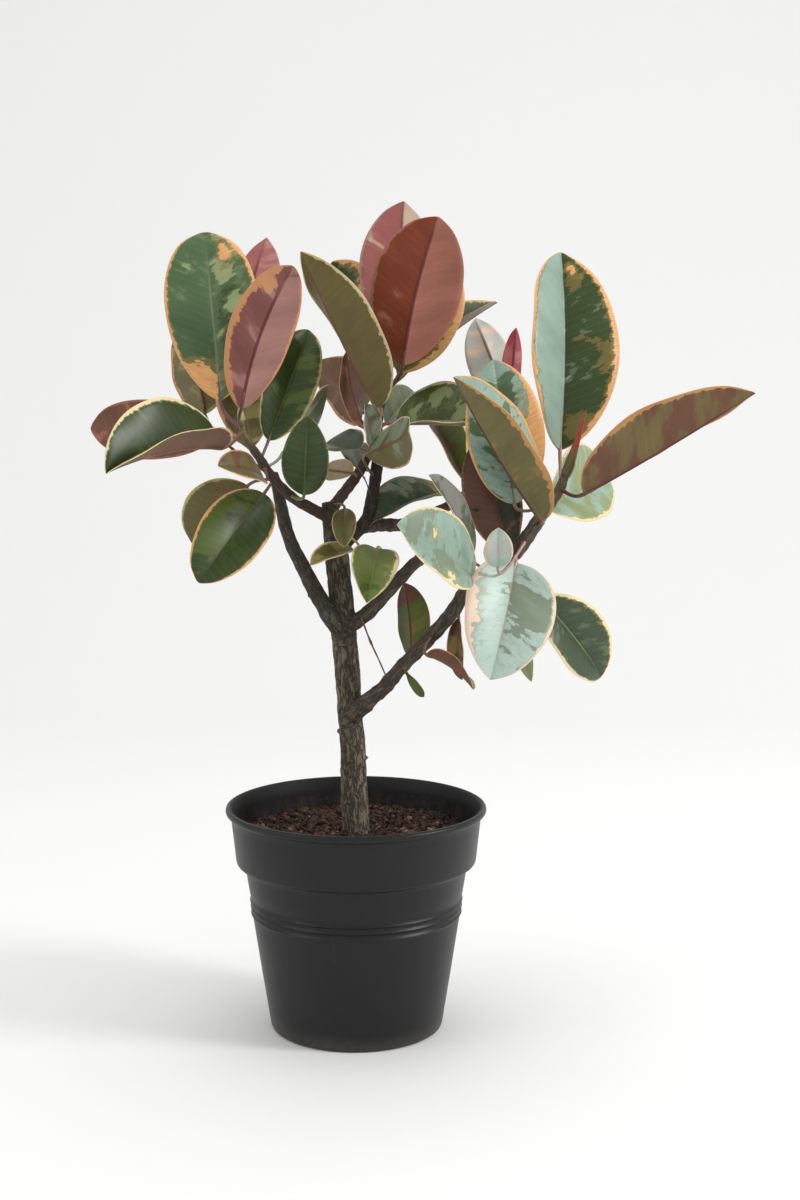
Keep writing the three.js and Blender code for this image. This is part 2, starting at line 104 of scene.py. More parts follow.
# Leaves: stem, place along it, start and tip of the blade, width, turn of the upper side from the
# front and fold of each half in degrees, arch, twist in degrees, sideways bow, where it is widest.
LEAVES = {
    "left_01": ("left_shoot", 0.90, (-119, -12, 396), (-135, 16, 545), 84, 6, 8, 5, 0, 0, 0.56),
    "left_02": ("left_shoot", 0.93, (-96, -44, 390), (-48, -72, 509), 58, 188, 20, 6, 0, 6, 0.50),
    "left_03": ("left_shoot", 0.66, (-76, -16, 361), (-42, 8, 458), 52, 10, 25, 3, 0, 0, 0.50),
    "left_04": ("left_shoot", 0.90, (-104, 2, 408), (-84, 56, 544), 58, 165, 14, -6, 0, 4, 0.50),
    "left_05": ("left_limb", 0.98, (-137, 14, 382), (-168, 44, 456), 58, 168, 18, 0, 0, -6, 0.50),
    "left_06": ("left_shoot", 0.88, (-114, -42, 356), (-198, -106, 341), 92, 56, 52, 8, 0, 0, 0.50),
    "left_07": ("left_shoot", 0.68, (-120, -14, 366), (-238, 2, 370), 56, 176, 15, 6, 0, 0, 0.60),
    "left_08": ("left_shoot", 0.50, (-80, -22, 314), (-132, -62, 243), 60, 6, 14, 8, 0, 0, 0.50),
    "left_09": ("left_limb", 0.94, (-100, 24, 316), (-156, 44, 260), 64, 20, 20, 5, 0, 0, 0.50),
    "left_10": ("left_shoot", 0.62, (-78, -36, 328), (-112, -74, 344), 34, 60, 15, 6, 0, 0, 0.50),
    "left_11": ("left_shoot", 0.82, (-92, -6, 354), (-112, 20, 438), 48, 10, 10, -5, 0, 0, 0.50),
    "left_12": ("left_shoot", 0.60, (-66, -10, 346), (-26, 36, 406), 50, 70, 10, 0, 0, 0, 0.50),
    "left_13": ("left_shoot", 0.38, (-44, -28, 314), (-38, -52, 384), 42, 0, 10, 4, 0, 0, 0.48),
    "mid_01": ("leader", 0.97, (43, -12, 427), (73, -44, 552), 82, 180, 14, 6, 0, 4, 0.48),
    "mid_02": ("leader", 0.99, (38, 24, 456), (44, 44, 576), 74, 196, 14, 4, 0, 0, 0.50),
    "mid_03": ("leader", 0.86, (19, -12, 390), (-44, -46, 523), 84, 124, 28, -2, 34, 0, 0.42),
    "mid_04": ("leader", 0.94, (28, 30, 434), (-22, 52, 522), 62, 0, 16, -4, 0, 0, 0.55),
    "mid_05": ("leader", 0.78, (6, 24, 384), (-46, 90, 426), 60, 160, 20, 8, 0, 0, 0.50),
    "mid_06": ("leader", 0.66, (9, 10, 369), (-7, 4, 440), 40, -100, 20, 4, 0, 0, 0.50),
    "mid_07": ("leader", 0.57, (16, 2, 354), (9, -10, 392), 34, 60, 16, 0, 0, 0, 0.50),
    "mid_08": ("leader", 0.92, (40, 22, 414), (131, 52, 484), 64, -66, 32, 4, 0, 0, 0.50),
    "mid_09": ("leader", 0.95, (40, 10, 420), (84, 18, 522), 70, 0, 20, 0, 0, 0, 0.50),
    "mid_10": ("leader", 0.72, (27, 24, 373), (52, 60, 402), 40, 0, 20, 0, 0, 0, 0.50),
    "mid_11": ("leader", 0.46, (10, -6, 348), (48, -56, 372), 46, 150, 20, 6, 0, 0, 0.50),
    "mid_12": ("leader", 0.58, (4, 22, 350), (-30, 56, 352), 44, 60, 20, 0, 0, 0, 0.50),
    "mid_13": ("leader", 0.50, (4, 34, 332), (-6, 74, 352), 30, 20, 20, 0, 0, 0, 0.50),
    "mid_14": ("centre_shoot", 0.60, (-2, 0, 330), (-28, -24, 336), 26, 150, 10, 0, 0, 0, 0.50),
    "mid_15": ("trunk", 0.97, (-9, -14, 300), (-8, -46, 271), 22, 0, 10, 4, 0, 0, 0.50),
    "right_01": ("low_limb", 0.95, (183, -10, 352), (187, 26, 528), 100, 26, 24, 6, 0, 0, 0.50),
    "right_02": ("low_limb", 0.94, (200, -40, 316), (342, -56, 404), 92, -126, 28, -2, 0, 0, 0.45),
    "right_03": ("low_limb", 0.92, (174, -8, 298), (232, 58, 330), 74, 0, 14, 4, 0, 0, 0.55),
    "right_04": ("low_limb", 0.84, (163, -42, 293), (85, -76, 418), 96, 84, 44, -3, 0, 0, 0.46),
    "right_05": ("leader", 0.74, (37, 6, 374), (132, 4, 370), 90, -64, 30, 2, 0, 0, 0.46),
    "right_06": ("low_limb", 0.71, (139, -14, 260), (113, -2, 364), 56, -20, 16, 4, 0, 0, 0.50),
    "right_07": ("inner_limb", 0.93, (101, 52, 317), (60, 76, 388), 50, 50, 28, 4, 0, 0, 0.50),
    "right_08": ("inner_limb", 0.97, (105, 44, 326), (107, 60, 400), 34, 40, 28, 4, 0, 0, 0.50),
    "right_09": ("inner_limb", 0.94, (144, 54, 388), (113, 84, 470), 48, 190, 14, 0, 0, 0, 0.50),
    "right_10": ("inner_limb", 0.98, (142, 38, 384), (150, 60, 461), 22, 200, 20, 0, 0, 0, 0.50),
    "right_11": ("low_limb", 0.60, (104, -34, 258), (65, -54, 334), 46, 72, 20, 4, 0, 0, 0.50),
    "right_12": ("low_limb", 0.56, (103, -60, 246), (38, -98, 298), 68, 46, 18, 5, 0, 0, 0.50),
    "right_13": ("inner_limb", 0.75, (84, 30, 308), (14, 10, 283), 62, 64, 28, 6, 0, 0, 0.50),
    "right_14": ("low_limb", 0.71, (141, -42, 256), (117, -74, 162), 84, -8, 16, 6, 0, 0, 0.42),
    "right_15": ("low_limb", 0.78, (124, -62, 256), (123, -76, 292), 26, 0, 14, 2, 0, 0, 0.50),
    "right_16": ("low_limb", 0.66, (166, -14, 220), (226, 10, 142), 64, -28, 22, 5, 0, 0, 0.50),
    "right_17": ("low_limb", 0.36, (64, -30, 172), (104, -54, 148), 34, -110, 24, 4, 0, 0, 0.50),
    "right_18": ("low_limb", 0.28, (50, -6, 166), (44, 14, 228), 38, 150, 24, 4, 0, 0, 0.50),
    "right_19": ("mid_limb", 0.50, (20, -24, 265), (12, -66, 226), 44, 0, 18, 8, 0, 0, 0.42),
    "right_20": ("trunk", 0.86, (0, -18, 263), (-38, -36, 253), 26, 56, 26, 4, 0, 0, 0.50),
    "right_21": ("low_limb", 0.87, (141, -28, 306), (122, -26, 432), 70, 4, 10, 4, 0, 0, 0.50),
    "right_22": ("low_limb", 0.47, (93, -20, 203), (96, -24, 148), 24, 52, 18, 3, 0, 0, 0.50),
    "right_23": ("low_limb", 0.64, (142, -37, 214), (156, -41, 151), 20, 24, 14, 3, 0, 0, 0.42),
    "right_24": ("low_limb", 0.20, (46, -10, 151), (62, -12, 129), 9, 10, 12, 1, 0, 0, 0.62),
}

# How each leaf is coloured: upper green, upper patches, margin, underside, underside patches, stalk
# and midrib; then how much of each half is patched and how wide its margin is, as a share of the
# half (minus side, plus side); then how much wider the margin is at the foot and at the tip.
# A half patched almost whole (right_01 is one) is partly real variegation and partly painted sheen:
# its pale share stands in for the reflection of the bright surroundings on that half.
COLOURS = {
    "left_01": ("fern", "sage", "orange", "olive", "straw", "maroon", 0.16, 0.20, 0.03, 0.10, 1.6, 0.6),
    "left_02": ("moss", "sage", "orange", "mauve", "rosy", "maroon", 0.95, 0.22, 0.03, 0.24, 0.9, 0.8),
    "left_03": ("deep", "moss", "straw", "olive", "straw", "brown", 0.10, 0.34, 0.03, 0.10, 0.3, 1.2),
    "left_04": ("moss", "sage", "rosy", "rose", "rosy", "maroon", 0.40, 0.20, 0.05, 0.05, 0.5, 0.5),
    "left_05": ("olive", "sage", "peach", "khaki", "straw", "maroon", 0.30, 0.30, 0.05, 0.14, 1.0, 0.4),
    "left_06": ("deep", "moss", "cream", "brown", "clay", "brown", 0.16, 0.10, 0.05, 0.05, 0.2, 2.4),
    "left_07": ("moss", "sage", "clay", "brown", "clay", "brown", 0.20, 0.30, 0.04, 0.04, 0.2, 0.2),
    "left_08": ("deep", "moss", "orange", "brown", "clay", "brown", 0.10, 0.55, 0.05, 0.05, 2.4, 0.8),
    "left_09": ("olive", "brown", "straw", "clay", "brown", "brown", 0.45, 0.35, 0.12, 0.10, 0.5, 1.5),
    "left_10": ("khaki", "brown", "peach", "brown", "clay", "maroon", 0.40, 0.40, 0.10, 0.10, 0.8, 0.8),
    "left_11": ("khaki", "straw", "peach", "khaki", "olive", "maroon", 0.35, 0.35, 0.16, 0.10, 0.8, 0.2),
    "left_12": ("mist", "sage", "cream", "mist", "frost", "mist", 0.40, 0.50, 0.06, 0.06, 0.5, 0.5),
    "left_13": ("deep", "moss", "deep", "moss", "olive", "moss", 0.10, 0.16, 0.00, 0.00, 0.0, 0.0),
    "mid_01": ("moss", "sage", "clay", "rust", "clay", "maroon", 1.00, 0.04, 0.03, 0.03, 0.3, 0.3),
    "mid_02": ("moss", "sage", "rosy", "rose", "beige", "maroon", 0.78, 0.14, 0.04, 0.04, 0.4, 0.6),
    "mid_03": ("mint", "frost", "cream", "bronze", "olive", "brown", 0.40, 0.40, 0.10, 0.07, 0.2, 2.6),
    "mid_04": ("deep", "moss", "orange", "olive", "brown", "moss", 0.25, 0.30, 0.20, 0.42, 0.5, 0.8),
    "mid_05": ("sage", "mist", "orange", "brown", "bronze", "brown", 0.30, 0.30, 0.06, 0.14, 0.5, 0.5),
    "mid_06": ("khaki", "straw", "orange", "brown", "clay", "maroon", 0.40, 0.40, 0.22, 0.12, 0.8, 0.4),
    "mid_07": ("mist", "khaki", "blush", "grey", "brown", "brown", 0.40, 0.40, 0.05, 0.05, 0.5, 0.5),
    "mid_08": ("deep", "moss", "gold", "grey", "rosy", "brown", 0.20, 0.25, 0.22, 0.16, 0.3, 1.8),
    "mid_09": ("olive", "moss", "orange", "clay", "olive", "maroon", 0.40, 0.35, 0.12, 0.26, 0.8, 0.5),
    "mid_10": ("mist", "sage", "cream", "grey", "mist", "brown", 0.40, 0.40, 0.05, 0.05, 0.4, 0.4),
    "mid_11": ("mist", "sage", "blush", "khaki", "mist", "brown", 0.40, 0.55, 0.05, 0.05, 0.8, 0.8),
    "mid_12": ("deep", "moss", "straw", "olive", "khaki", "brown", 0.20, 0.20, 0.04, 0.04, 0.2, 0.2),
    "mid_13": ("deep", "moss", "straw", "olive", "khaki", "brown", 0.20, 0.20, 0.04, 0.04, 0.2, 0.2),
    "mid_14": ("sage", "mist", "cream", "beige", "straw", "brown", 0.40, 0.40, 0.08, 0.08, 0.4, 0.4),
    "mid_15": ("olive", "moss", "straw", "olive", "khaki", "brown", 0.35, 0.30, 0.10, 0.06, 0.2, 0.2),
    "right_01": ("deep", "mint", "orange", "mauve", "clay", "rosy", 1.00, 0.02, 0.015, 0.13, 0.9, 1.0),
    "right_02": ("moss", "sage", "orange", "brown", "bronze", "maroon", 0.20, 0.55, 0.03, 0.12, 0.2, 1.0),
    "right_03": ("sage", "mint", "cream", "mist", "sage", "brown", 0.42, 0.42, 0.06, 0.12, 0.5, 0.5),
    "right_04": ("mint", "fern", "orange", "khaki", "ochre", "maroon", 0.25, 0.35, 0.20, 0.07, 0.2, 1.6),
    "right_05": ("moss", "sage", "cream", "olive", "khaki", "rose", 0.30, 0.32, 0.06, 0.05, 0.2, 1.2),
    # This leaf lies in shadow deep in the crown: its near-black green is painted shade.
    "right_06": ("painted_shade_green", "umber", "brown", "umber", "mauve", "maroon", 0.85, 0.10, 0.03, 0.05, 0.2, 0.2),
    "right_07": ("umber", "moss", "cream", "brown", "umber", "brown", 0.35, 0.60, 0.08, 0.06, 0.3, 0.3),
    "right_08": ("moss", "frost", "cream", "umber", "grey", "brown", 0.45, 0.45, 0.16, 0.10, 0.5, 0.5),
    "right_09": ("sage", "frost", "blush", "silver", "blush", "brown", 0.45, 0.45, 0.05, 0.05, 0.4, 0.4),
    "right_10": ("moss", "sage", "rose", "berry", "rose", "maroon", 0.30, 0.45, 0.05, 0.05, 0.4, 0.4),
    "right_11": ("mist", "silver", "cream", "grey", "silver", "brown", 0.45, 0.55, 0.04, 0.04, 0.2, 0.2),
    "right_12": ("mint", "mist", "cream", "silver", "frost", "mist", 0.50, 0.42, 0.04, 0.06, 0.5, 0.5),
    "right_13": ("dusk", "mist", "bronze", "brown", "khaki", "brown", 0.20, 0.30, 0.04, 0.05, 3.0, 0.2),
    "right_14": ("frost", "mist", "blush", "silver", "frost", "rosy", 0.38, 0.16, 0.03, 0.10, 0.8, 0.3),
    "right_15": ("frost", "silver", "blush", "silver", "blush", "rosy", 0.30, 0.30, 0.14, 0.14, 0.4, 0.6),
    "right_16": ("dusk", "sage", "cream", "clay", "khaki", "brown", 0.20, 0.20, 0.12, 0.10, 1.6, 0.8),
    "right_17": ("moss", "sage", "peach", "brown", "umber", "brown", 0.30, 0.30, 0.06, 0.04, 0.6, 0.3),
    "right_18": ("olive", "moss", "maroon", "moss", "olive", "maroon", 0.30, 0.30, 0.03, 0.03, 0.1, 0.1),
    "right_19": ("lime", "moss", "cream", "straw", "khaki", "straw", 0.20, 0.20, 0.13, 0.07, 0.9, 0.6),
    "right_20": ("straw", "olive", "cream", "gold", "khaki", "straw", 0.35, 0.35, 0.20, 0.16, 0.4, 0.4),
    "right_21": ("mint", "fern", "orange", "olive", "straw", "brown", 0.45, 0.50, 0.04, 0.16, 0.4, 0.6),
    "right_22": ("brown", "ochre", "orange", "ochre", "brown", "brown", 0.30, 0.40, 0.10, 0.10, 0.4, 0.4),
    "right_23": ("sage", "mist", "straw", "khaki", "mist", "brown", 0.30, 0.40, 0.06, 0.06, 0.4, 0.4),
    "right_24": ("moss", "olive", "straw", "olive", "khaki", "olive", 0.20, 0.20, 0.03, 0.03, 0.2, 0.2),
}

# Single patches: what (rim is the margin's colour, pale the patch colour, mid between the leaf and its
# margin, dark a deep green), how far across (-1 to 1), how far along, half width, half length, strength.
PATCHES = {
    "left_01": [("rim", -0.55, 0.10, 0.6, 0.15, 1.1), ("rim", 0.50, 0.86, 0.25, 0.09, 0.7),
                ("dark", 0.45, 0.45, 0.40, 0.28, 0.9), ("pale", 0.60, 0.55, 0.25, 0.09, 0.35),
                ("pale", 0.35, 0.72, 0.22, 0.06, 0.4), ("pale", -0.5, 0.78, 0.25, 0.06, 0.45),
                ("dark", -0.1, 0.16, 0.5, 0.05, 0.9)],
    "left_02": [("rim", 0.45, 0.82, 0.35, 0.10, 0.7)],
    "mid_04": [("rim", 0.35, 0.60, 0.35, 0.12, 0.9)],
    "right_01": [("mid", 0.80, 0.46, 0.26, 0.10, 0.7), ("rim", 0.35, 0.90, 0.3, 0.06, 0.5),
                 ("mid", 0.6, 0.12, 0.6, 0.08, 0.8), ("mid", 0.4, 0.55, 0.6, 0.016, 0.6),
                 ("mid", 0.3, 0.86, 0.35, 0.08, 0.7), ("rim", -0.9, 0.25, 0.18, 0.14, 0.35)],
    "right_12": [("rim", 0.35, 0.62, 0.22, 0.06, 0.6), ("rim", -0.75, 0.42, 0.22, 0.10, 0.7)],
    "right_13": [("rim", 0.5, 0.10, 0.5, 0.10, 0.9)],
    "right_14": [("rim", 0.95, 0.52, 0.35, 0.25, 0.8), ("pale", -0.5, 0.35, 0.5, 0.25, 0.4)],
    "right_18": [("rim", 0.0, 0.92, 1.6, 0.20, 1.3)],
    "right_19": [("rim", -0.7, 0.5, 0.3, 0.2, 0.4)],
    "right_21": [("rim", 0.80, 0.45, 0.40, 0.26, 0.9), ("dark", 0.25, 0.72, 0.30, 0.12, 0.9)],
}

# The CAD model is full at 60 nodes, so these leaves are made here only and stand for no node of it.
HERE_ONLY = ("right_21", "right_22", "right_23", "right_24")

# Blades that are blunter than the rest: the power their outline is raised to, 1 for all the others.
BLUNT = {
    "left_01": 0.88, "left_02": 0.92, "left_03": 0.85, "left_06": 0.9, "left_08": 0.88, "mid_01": 0.96,
    "mid_03": 0.95, "right_02": 0.95, "right_05": 0.9, "right_14": 0.85, "right_21": 0.95,
}

# Old bud scales round the broken end of the middle limb: turn, size, lean, how far back from the end.
BROKEN_END = [(0.3, 5.6, 0.5, 4), (2.3, 5.0, 0.7, 0), (4.2, 6.0, 0.3, 7), (5.4, 4.2, 0.9, -1),
              (1.3, 4.6, 0.2, 10)]

# Dead stalks among the limbs: points along them and radius.
TWIGS = {
    "dry_twig_low": ([(4, -7, 205), (7, -10, 197), (14, -15, 180), (22, -17, 163), (27, -13, 150)], 0.95),
    "dry_twig_high": ([(-3, 4, 338), (3, 0, 334), (8, 0, 326), (11, 6, 318), (13, 12, 309)], 0.8),
}

# Studio lights, in metres: place, what they aim at, diameter, power as a share of the main light's.
LAMPS = {
    "key_softbox": ((2.7, -0.9, 1.7), (0, 0, 0.3), 0.9, 1),
    "left_softbox": ((-2.2, -1.2, 1.6), (0, 0, 0.45), 1.6, 0.22),
    "top_softbox": ((0.1, 0.3, 2.6), (0, 0, 0.4), 1.6, 0.25),
}

# The camera: place in metres, degrees that it looks down, focal length and sensor width in millimetres.
CAMERA_PLACE = (0.0404, -1.712, 0.624)
CAMERA_TILT = 7.49
CAMERA_LENS = 57
CAMERA_SENSOR = 36

# How finely each shape is made.
POT_STEPS = 144         # round the pot
SOIL_STEPS = 120        # round the soil
TOP_STEPS = 26          # from the soil's edge to its middle
CRUMB_BATCH = 250       # crumbs made in one mesh before they join the heap
STEM_STEPS = 10         # between two points of a stem
TWIG_STEPS = 32         # along a dead stalk
COLUMNS, ROWS = 22, 36  # across and along a blade
RINGS = 14              # of a leaf's stalk
BLADE_RING = 10         # the ring where the stalk meets the blade


def shade(code):
    """The linear colour of a hex code."""
    parts = [int(code[i:i + 2], 16) / 255 for i in (1, 3, 5)]
    return tuple(c / 12.92 if c <= 0.04045 else ((c + 0.055) / 1.055) ** 2.4 for c in parts)


# The leaf colours by name.
PALETTE = {
    "deep": ("#35481b", "Dark green of an old leaf"), "moss": ("#526328", "Mid green"),
    "fern": ("#4f6b43", "Green of a glossy young leaf"), "dusk": ("#42533a", "Grey green"),
    # The near-black green below is painted shade for a leaf that lies in shadow, not a colour of the leaf.
    "painted_shade_green": ("#262d1a", "Green in deep shade"), "lime": ("#71803a", "Light green"),
    "olive": ("#655d2c", "Olive"), "khaki": ("#736b45", "Dull olive"), "straw": ("#a99c60", "Dry yellow"),
    "sage": ("#98a574", "Pale green patches"), "mist": ("#84927a", "Dull grey green"),
    "mint": ("#9db7a6", "Mint green"), "frost": ("#bed3c7", "Pale mint"), "silver": ("#c2c3bb", "Pale grey"),
    "cream": ("#e2cf9e", "Cream margin"), "gold": ("#c9a349", "Yellow margin"),
    "orange": ("#d6965a", "Orange margin"), "peach": ("#d48d68", "Peach margin"),
    "blush": ("#dfc3b2", "Pale pink"), "rosy": ("#a67970", "Dusty pink"),
    "rose": ("#a45f5c", "Rose underside"),
    "mauve": ("#84504a", "Mauve underside"), "berry": ("#9a3246", "Young red"),
    "rust": ("#843b22", "Rust underside"),
    "clay": ("#9f6656", "Pink brown"), "brown": ("#704b36", "Brown"), "umber": ("#6a4336", "Dark red brown"),
    "bronze": ("#6d6038", "Bronze underside"), "ochre": ("#94793f", "Ochre underside"),
    "grey": ("#8d837a", "Warm grey"), "beige": ("#bba48c", "Beige"),
    "maroon": ("#5d2229", "Stalk and midrib"),
}


# ---- shaders -----------------------------------------------------------------------------------
class Value:
    """A node's output that Python's operators work on by adding Math nodes."""

    def __init__(self, paint, socket):
        self.paint, self.socket = paint, socket

    def maths(self, operation, *values):
        return self.paint.node("Math", {"operation": operation}, dict(enumerate(values)))

    def __add__(self, other):
        return self.maths("ADD", self, other)

    def __sub__(self, other):
        return self.maths("SUBTRACT", self, other)

    def __rsub__(self, other):
        return self.maths("SUBTRACT", other, self)

    def __mul__(self, other):
        return self.maths("MULTIPLY", self, other)

    def __abs__(self):
        return self.maths("ABSOLUTE", self)

    __radd__, __rmul__ = __add__, __mul__


class Paint:
    """One material and the nodes that make it."""

    def __init__(self, name):
        self.material = bpy.data.materials.new(name)
        self.material.use_nodes = True
        self.tree = self.material.node_tree
        self.tree.nodes.clear()

    def node(self, kind, settings=None, inputs=None, out=0):
        """A node of this kind: its settings first, then the values or links of its sockets."""
        made = self.tree.nodes.new("ShaderNode" + kind)
        for key, value in (settings or {}).items():
            if key == "stops":
                ramp = made.color_ramp
                while len(ramp.elements) < len(value):
                    ramp.elements.new(1.0)
                for stop, (place, colour) in zip(ramp.elements, value):
                    stop.position, stop.color = place, (*colour, 1)
            else:
                setattr(made, key, value)
        for key, value in (inputs or {}).items():
            if isinstance(value, Value):
                self.tree.links.new(value.socket, made.inputs[key])
            else:
                socket = made.inputs[key]
                socket.default_value = (*value, 1) if socket.type == "RGBA" and len(value) == 3 else value
        return Value(self, made.outputs[out]) if made.outputs else None

    def place(self):
        """Where a point of the surface is on the object, in metres."""
        return self.node("TexCoord", None, None, out=3)

    def attribute(self, name, kind="Fac"):
        """A field stored on the mesh."""
        return self.node("Attribute", {"attribute_name": name}, out={"Color": 0, "Vector": 1, "Fac": 2}[kind])

    def xyz(self, vector):
        return [self.node("SeparateXYZ", None, {0: vector}, out=i) for i in range(3)]

    def vector(self, x, y, z):
        return self.node("CombineXYZ", None, {0: x, 1: y, 2: z})

    def stretch(self, vector, scale):
        return self.node("VectorMath", {"operation": "MULTIPLY"}, {0: vector, 1: scale})

    def noise(self, vector, scale, detail=3.0, rough=0.5, warp=0.0):
        return self.node("TexNoise", None, {"Vector": vector, "Scale": scale, "Detail": detail,
                                            "Roughness": rough, "Distortion": warp})

    def step(self, value, low, high):
        """0 below low, 1 above high and smooth between them."""
        return self.node("MapRange", {"interpolation_type": "SMOOTHSTEP"}, {0: value, 1: low, 2: high})

    def mix(self, factor, a, b, how="MIX"):
        return self.node("Mix", {"data_type": "RGBA", "blend_type": how}, {0: factor, 6: a, 7: b}, out=2)

    def bump(self, height, distance, strength):
        return self.node("Bump", None, {"Height": height, "Distance": distance, "Strength": strength})

    def finish(self, **inputs):
        """The surface, with the sockets of its shader named by underscores."""
        surface = self.node("BsdfPrincipled", None, {k.replace("_", " "): v for k, v in inputs.items()})
        self.node("OutputMaterial", None, {0: surface})
        return self.material


def pot_plastic(name, settings, inside):
    """Satin black plastic with a fine grain, faint drag marks and, inside, dried splashes above the soil."""
    paint = Paint(name)
    place = paint.place()
    z = paint.xyz(place)[2]
    broad = paint.noise(place, 9, 4, 0.55)
    grain = paint.noise(place, 1400, 2, 0.6)
    drag = paint.noise(paint.stretch(place, (60, 60, 900)), 1, 3, 0.6)
    scuff = paint.step(paint.noise(paint.stretch(place, (90, 90, 14)), 1, 5, 0.7, 0.4), 0.63, 0.74)
    lightness = 0.75 + broad * 0.5 + (grain - 0.5) * 0.18
    colour = paint.mix(1.0, settings.colour, paint.vector(lightness, lightness, lightness), "MULTIPLY")
    colour = paint.mix(scuff * 0.04, colour, shade("#6d6c69"))
    if inside:
        specks = paint.step(paint.noise(place, 260, 4, 0.7), 0.55, 0.66)
        low = paint.step(z, (SOIL_TOP + 18) * MM, (SOIL_TOP - 2) * MM)
        streaks = paint.step(paint.noise(paint.stretch(place, (120, 120, 22)), 1, 3, 0.6), 0.45, 0.75)
        dirt = specks * low * 0.55 + low * streaks * 0.35
        colour = paint.mix(dirt, colour, shade("#5a4536"))
        rough = 0.5 + broad * 0.1 + dirt * 0.3
    else:
        foot = paint.step(z + (broad - 0.5) * 0.02, 0.020, 0.002)
        dust = foot * paint.noise(place, 420, 3, 0.7) * 0.35
        colour = paint.mix(dust, colour, shade("#77726a"))
        rough = settings.roughness - 0.08 + broad * 0.14 + scuff * 0.12 + dust * 0.2
    height = grain * 0.5 + drag * 0.35
    return paint.finish(Base_Color=colour, Roughness=rough, Normal=paint.bump(height, 0.00006, 0.8),
                        Specular_IOR_Level=0.32)


def soil_shader(settings):
    """Damp composted bark: every crumb its own brown, with pale broken edges."""
    paint = Paint("composted bark")
    place = paint.place()
    chip = paint.attribute("chip")
    base = paint.node("ValToRGB", {"stops": [
        (0.0, shade("#17100c")), (0.35, shade("#2d1e17")), (0.62, shade("#463026")),
        (0.85, shade("#66493a")), (1.0, shade("#8e7258"))]}, {0: chip})
    fibre = paint.noise(paint.stretch(place, (1, 1, 2.2)), 900, 4, 0.65)
    wet = paint.noise(place, 40, 2, 0.5)
    colour = paint.mix(paint.step(fibre, 0.3, 0.7) * 0.5, base, settings.colour)
    colour = paint.mix(paint.step(fibre, 0.60, 0.72) * 0.35, colour, shade("#9a7654"))
    return paint.finish(Base_Color=colour, Roughness=0.72 + wet * 0.25,
                        Normal=paint.bump(fibre, 0.0005, 0.8), Specular_IOR_Level=0.3)


def bark_shader(settings):
    """Grey brown bark, split along the stem, with pale flecks; thin shoots are smoother."""
    paint = Paint("bark")
    grain = paint.attribute("grain", "Vector")
    tone = paint.attribute("tone", "Color")
    age = paint.attribute("age")
    split = abs(paint.noise(paint.stretch(grain, (1, 1, 0.22)), 260, 5, 0.62, 0.5) - 0.5) * 2
    crack = paint.step(split, 0.16, 0.02)
    plate = paint.noise(paint.stretch(grain, (1, 1, 0.4)), 120, 4, 0.6)
    fine = paint.noise(grain, 900, 3, 0.65)
    fleck = paint.step(paint.noise(paint.stretch(grain, (1, 1, 0.6)), 420, 3, 0.6), 0.60, 0.70)
    lichen = paint.step(paint.noise(grain, 75, 4, 0.6), 0.52, 0.70)
    light = 0.62 + plate * 0.75 + (fine - 0.5) * 0.5
    colour = paint.mix(1.0, tone, paint.vector(light, light, light), "MULTIPLY")
    colour = paint.mix(lichen * age * 0.45, colour, settings.lichen)
    colour = paint.mix(fleck * (0.15 + age * 0.5), colour, settings.fleck)
    colour = paint.mix(crack * (0.35 + age * 0.45), colour, settings.crack)
    height = plate * 0.5 + fine * 0.25 - crack * (0.3 + age * 0.7)
    return paint.finish(Base_Color=colour, Roughness=0.62 + age * 0.2 + (fine - 0.5) * 0.2,
                        Normal=paint.bump(height, 0.0011, 0.8), Specular_IOR_Level=0.35)


def leaf_pattern(paint):
    """What both sides of a leaf share: the places on it, and noise that follows its side veins."""
    x, y, _ = paint.xyz(paint.node("UVMap", {"uv_map": "blade"}))
    far = abs(x)
    slant = y - far * 0.42
    return {
        "x": x, "far": far, "slant": slant,
        "across": paint.attribute("across"), "run": paint.attribute("run"),
        "pale": paint.attribute("pale"), "rim": paint.attribute("rim"),
        "middling": paint.attribute("middling"), "darker": paint.attribute("darker"),
        "blot": paint.noise(paint.vector(x * 2.3, slant * 4.6, 0.0), 1, 2, 0.5, 0.2),
        "jag": paint.noise(paint.vector(x * 9.0, slant * 17.0, 7.0), 1, 3, 0.58, 0.4),
        "stripe": paint.noise(paint.vector(x * 7.0, slant * 60.0, 3.0), 1, 3, 0.6, 0.15),
        "fine": paint.noise(paint.vector(x, y, 5.0), 90, 3, 0.65),
        "vein": paint.node("TexWave", {
            "wave_type": "BANDS", "bands_direction": "Y", "wave_profile": "SIN"}, {
            "Vector": paint.vector(0.0, slant, 0.0), "Scale": 4.6, "Distortion": 1.6, "Detail": 2.0,
            "Detail Scale": 1.0, "Detail Roughness": 0.5}, out=1),
    }


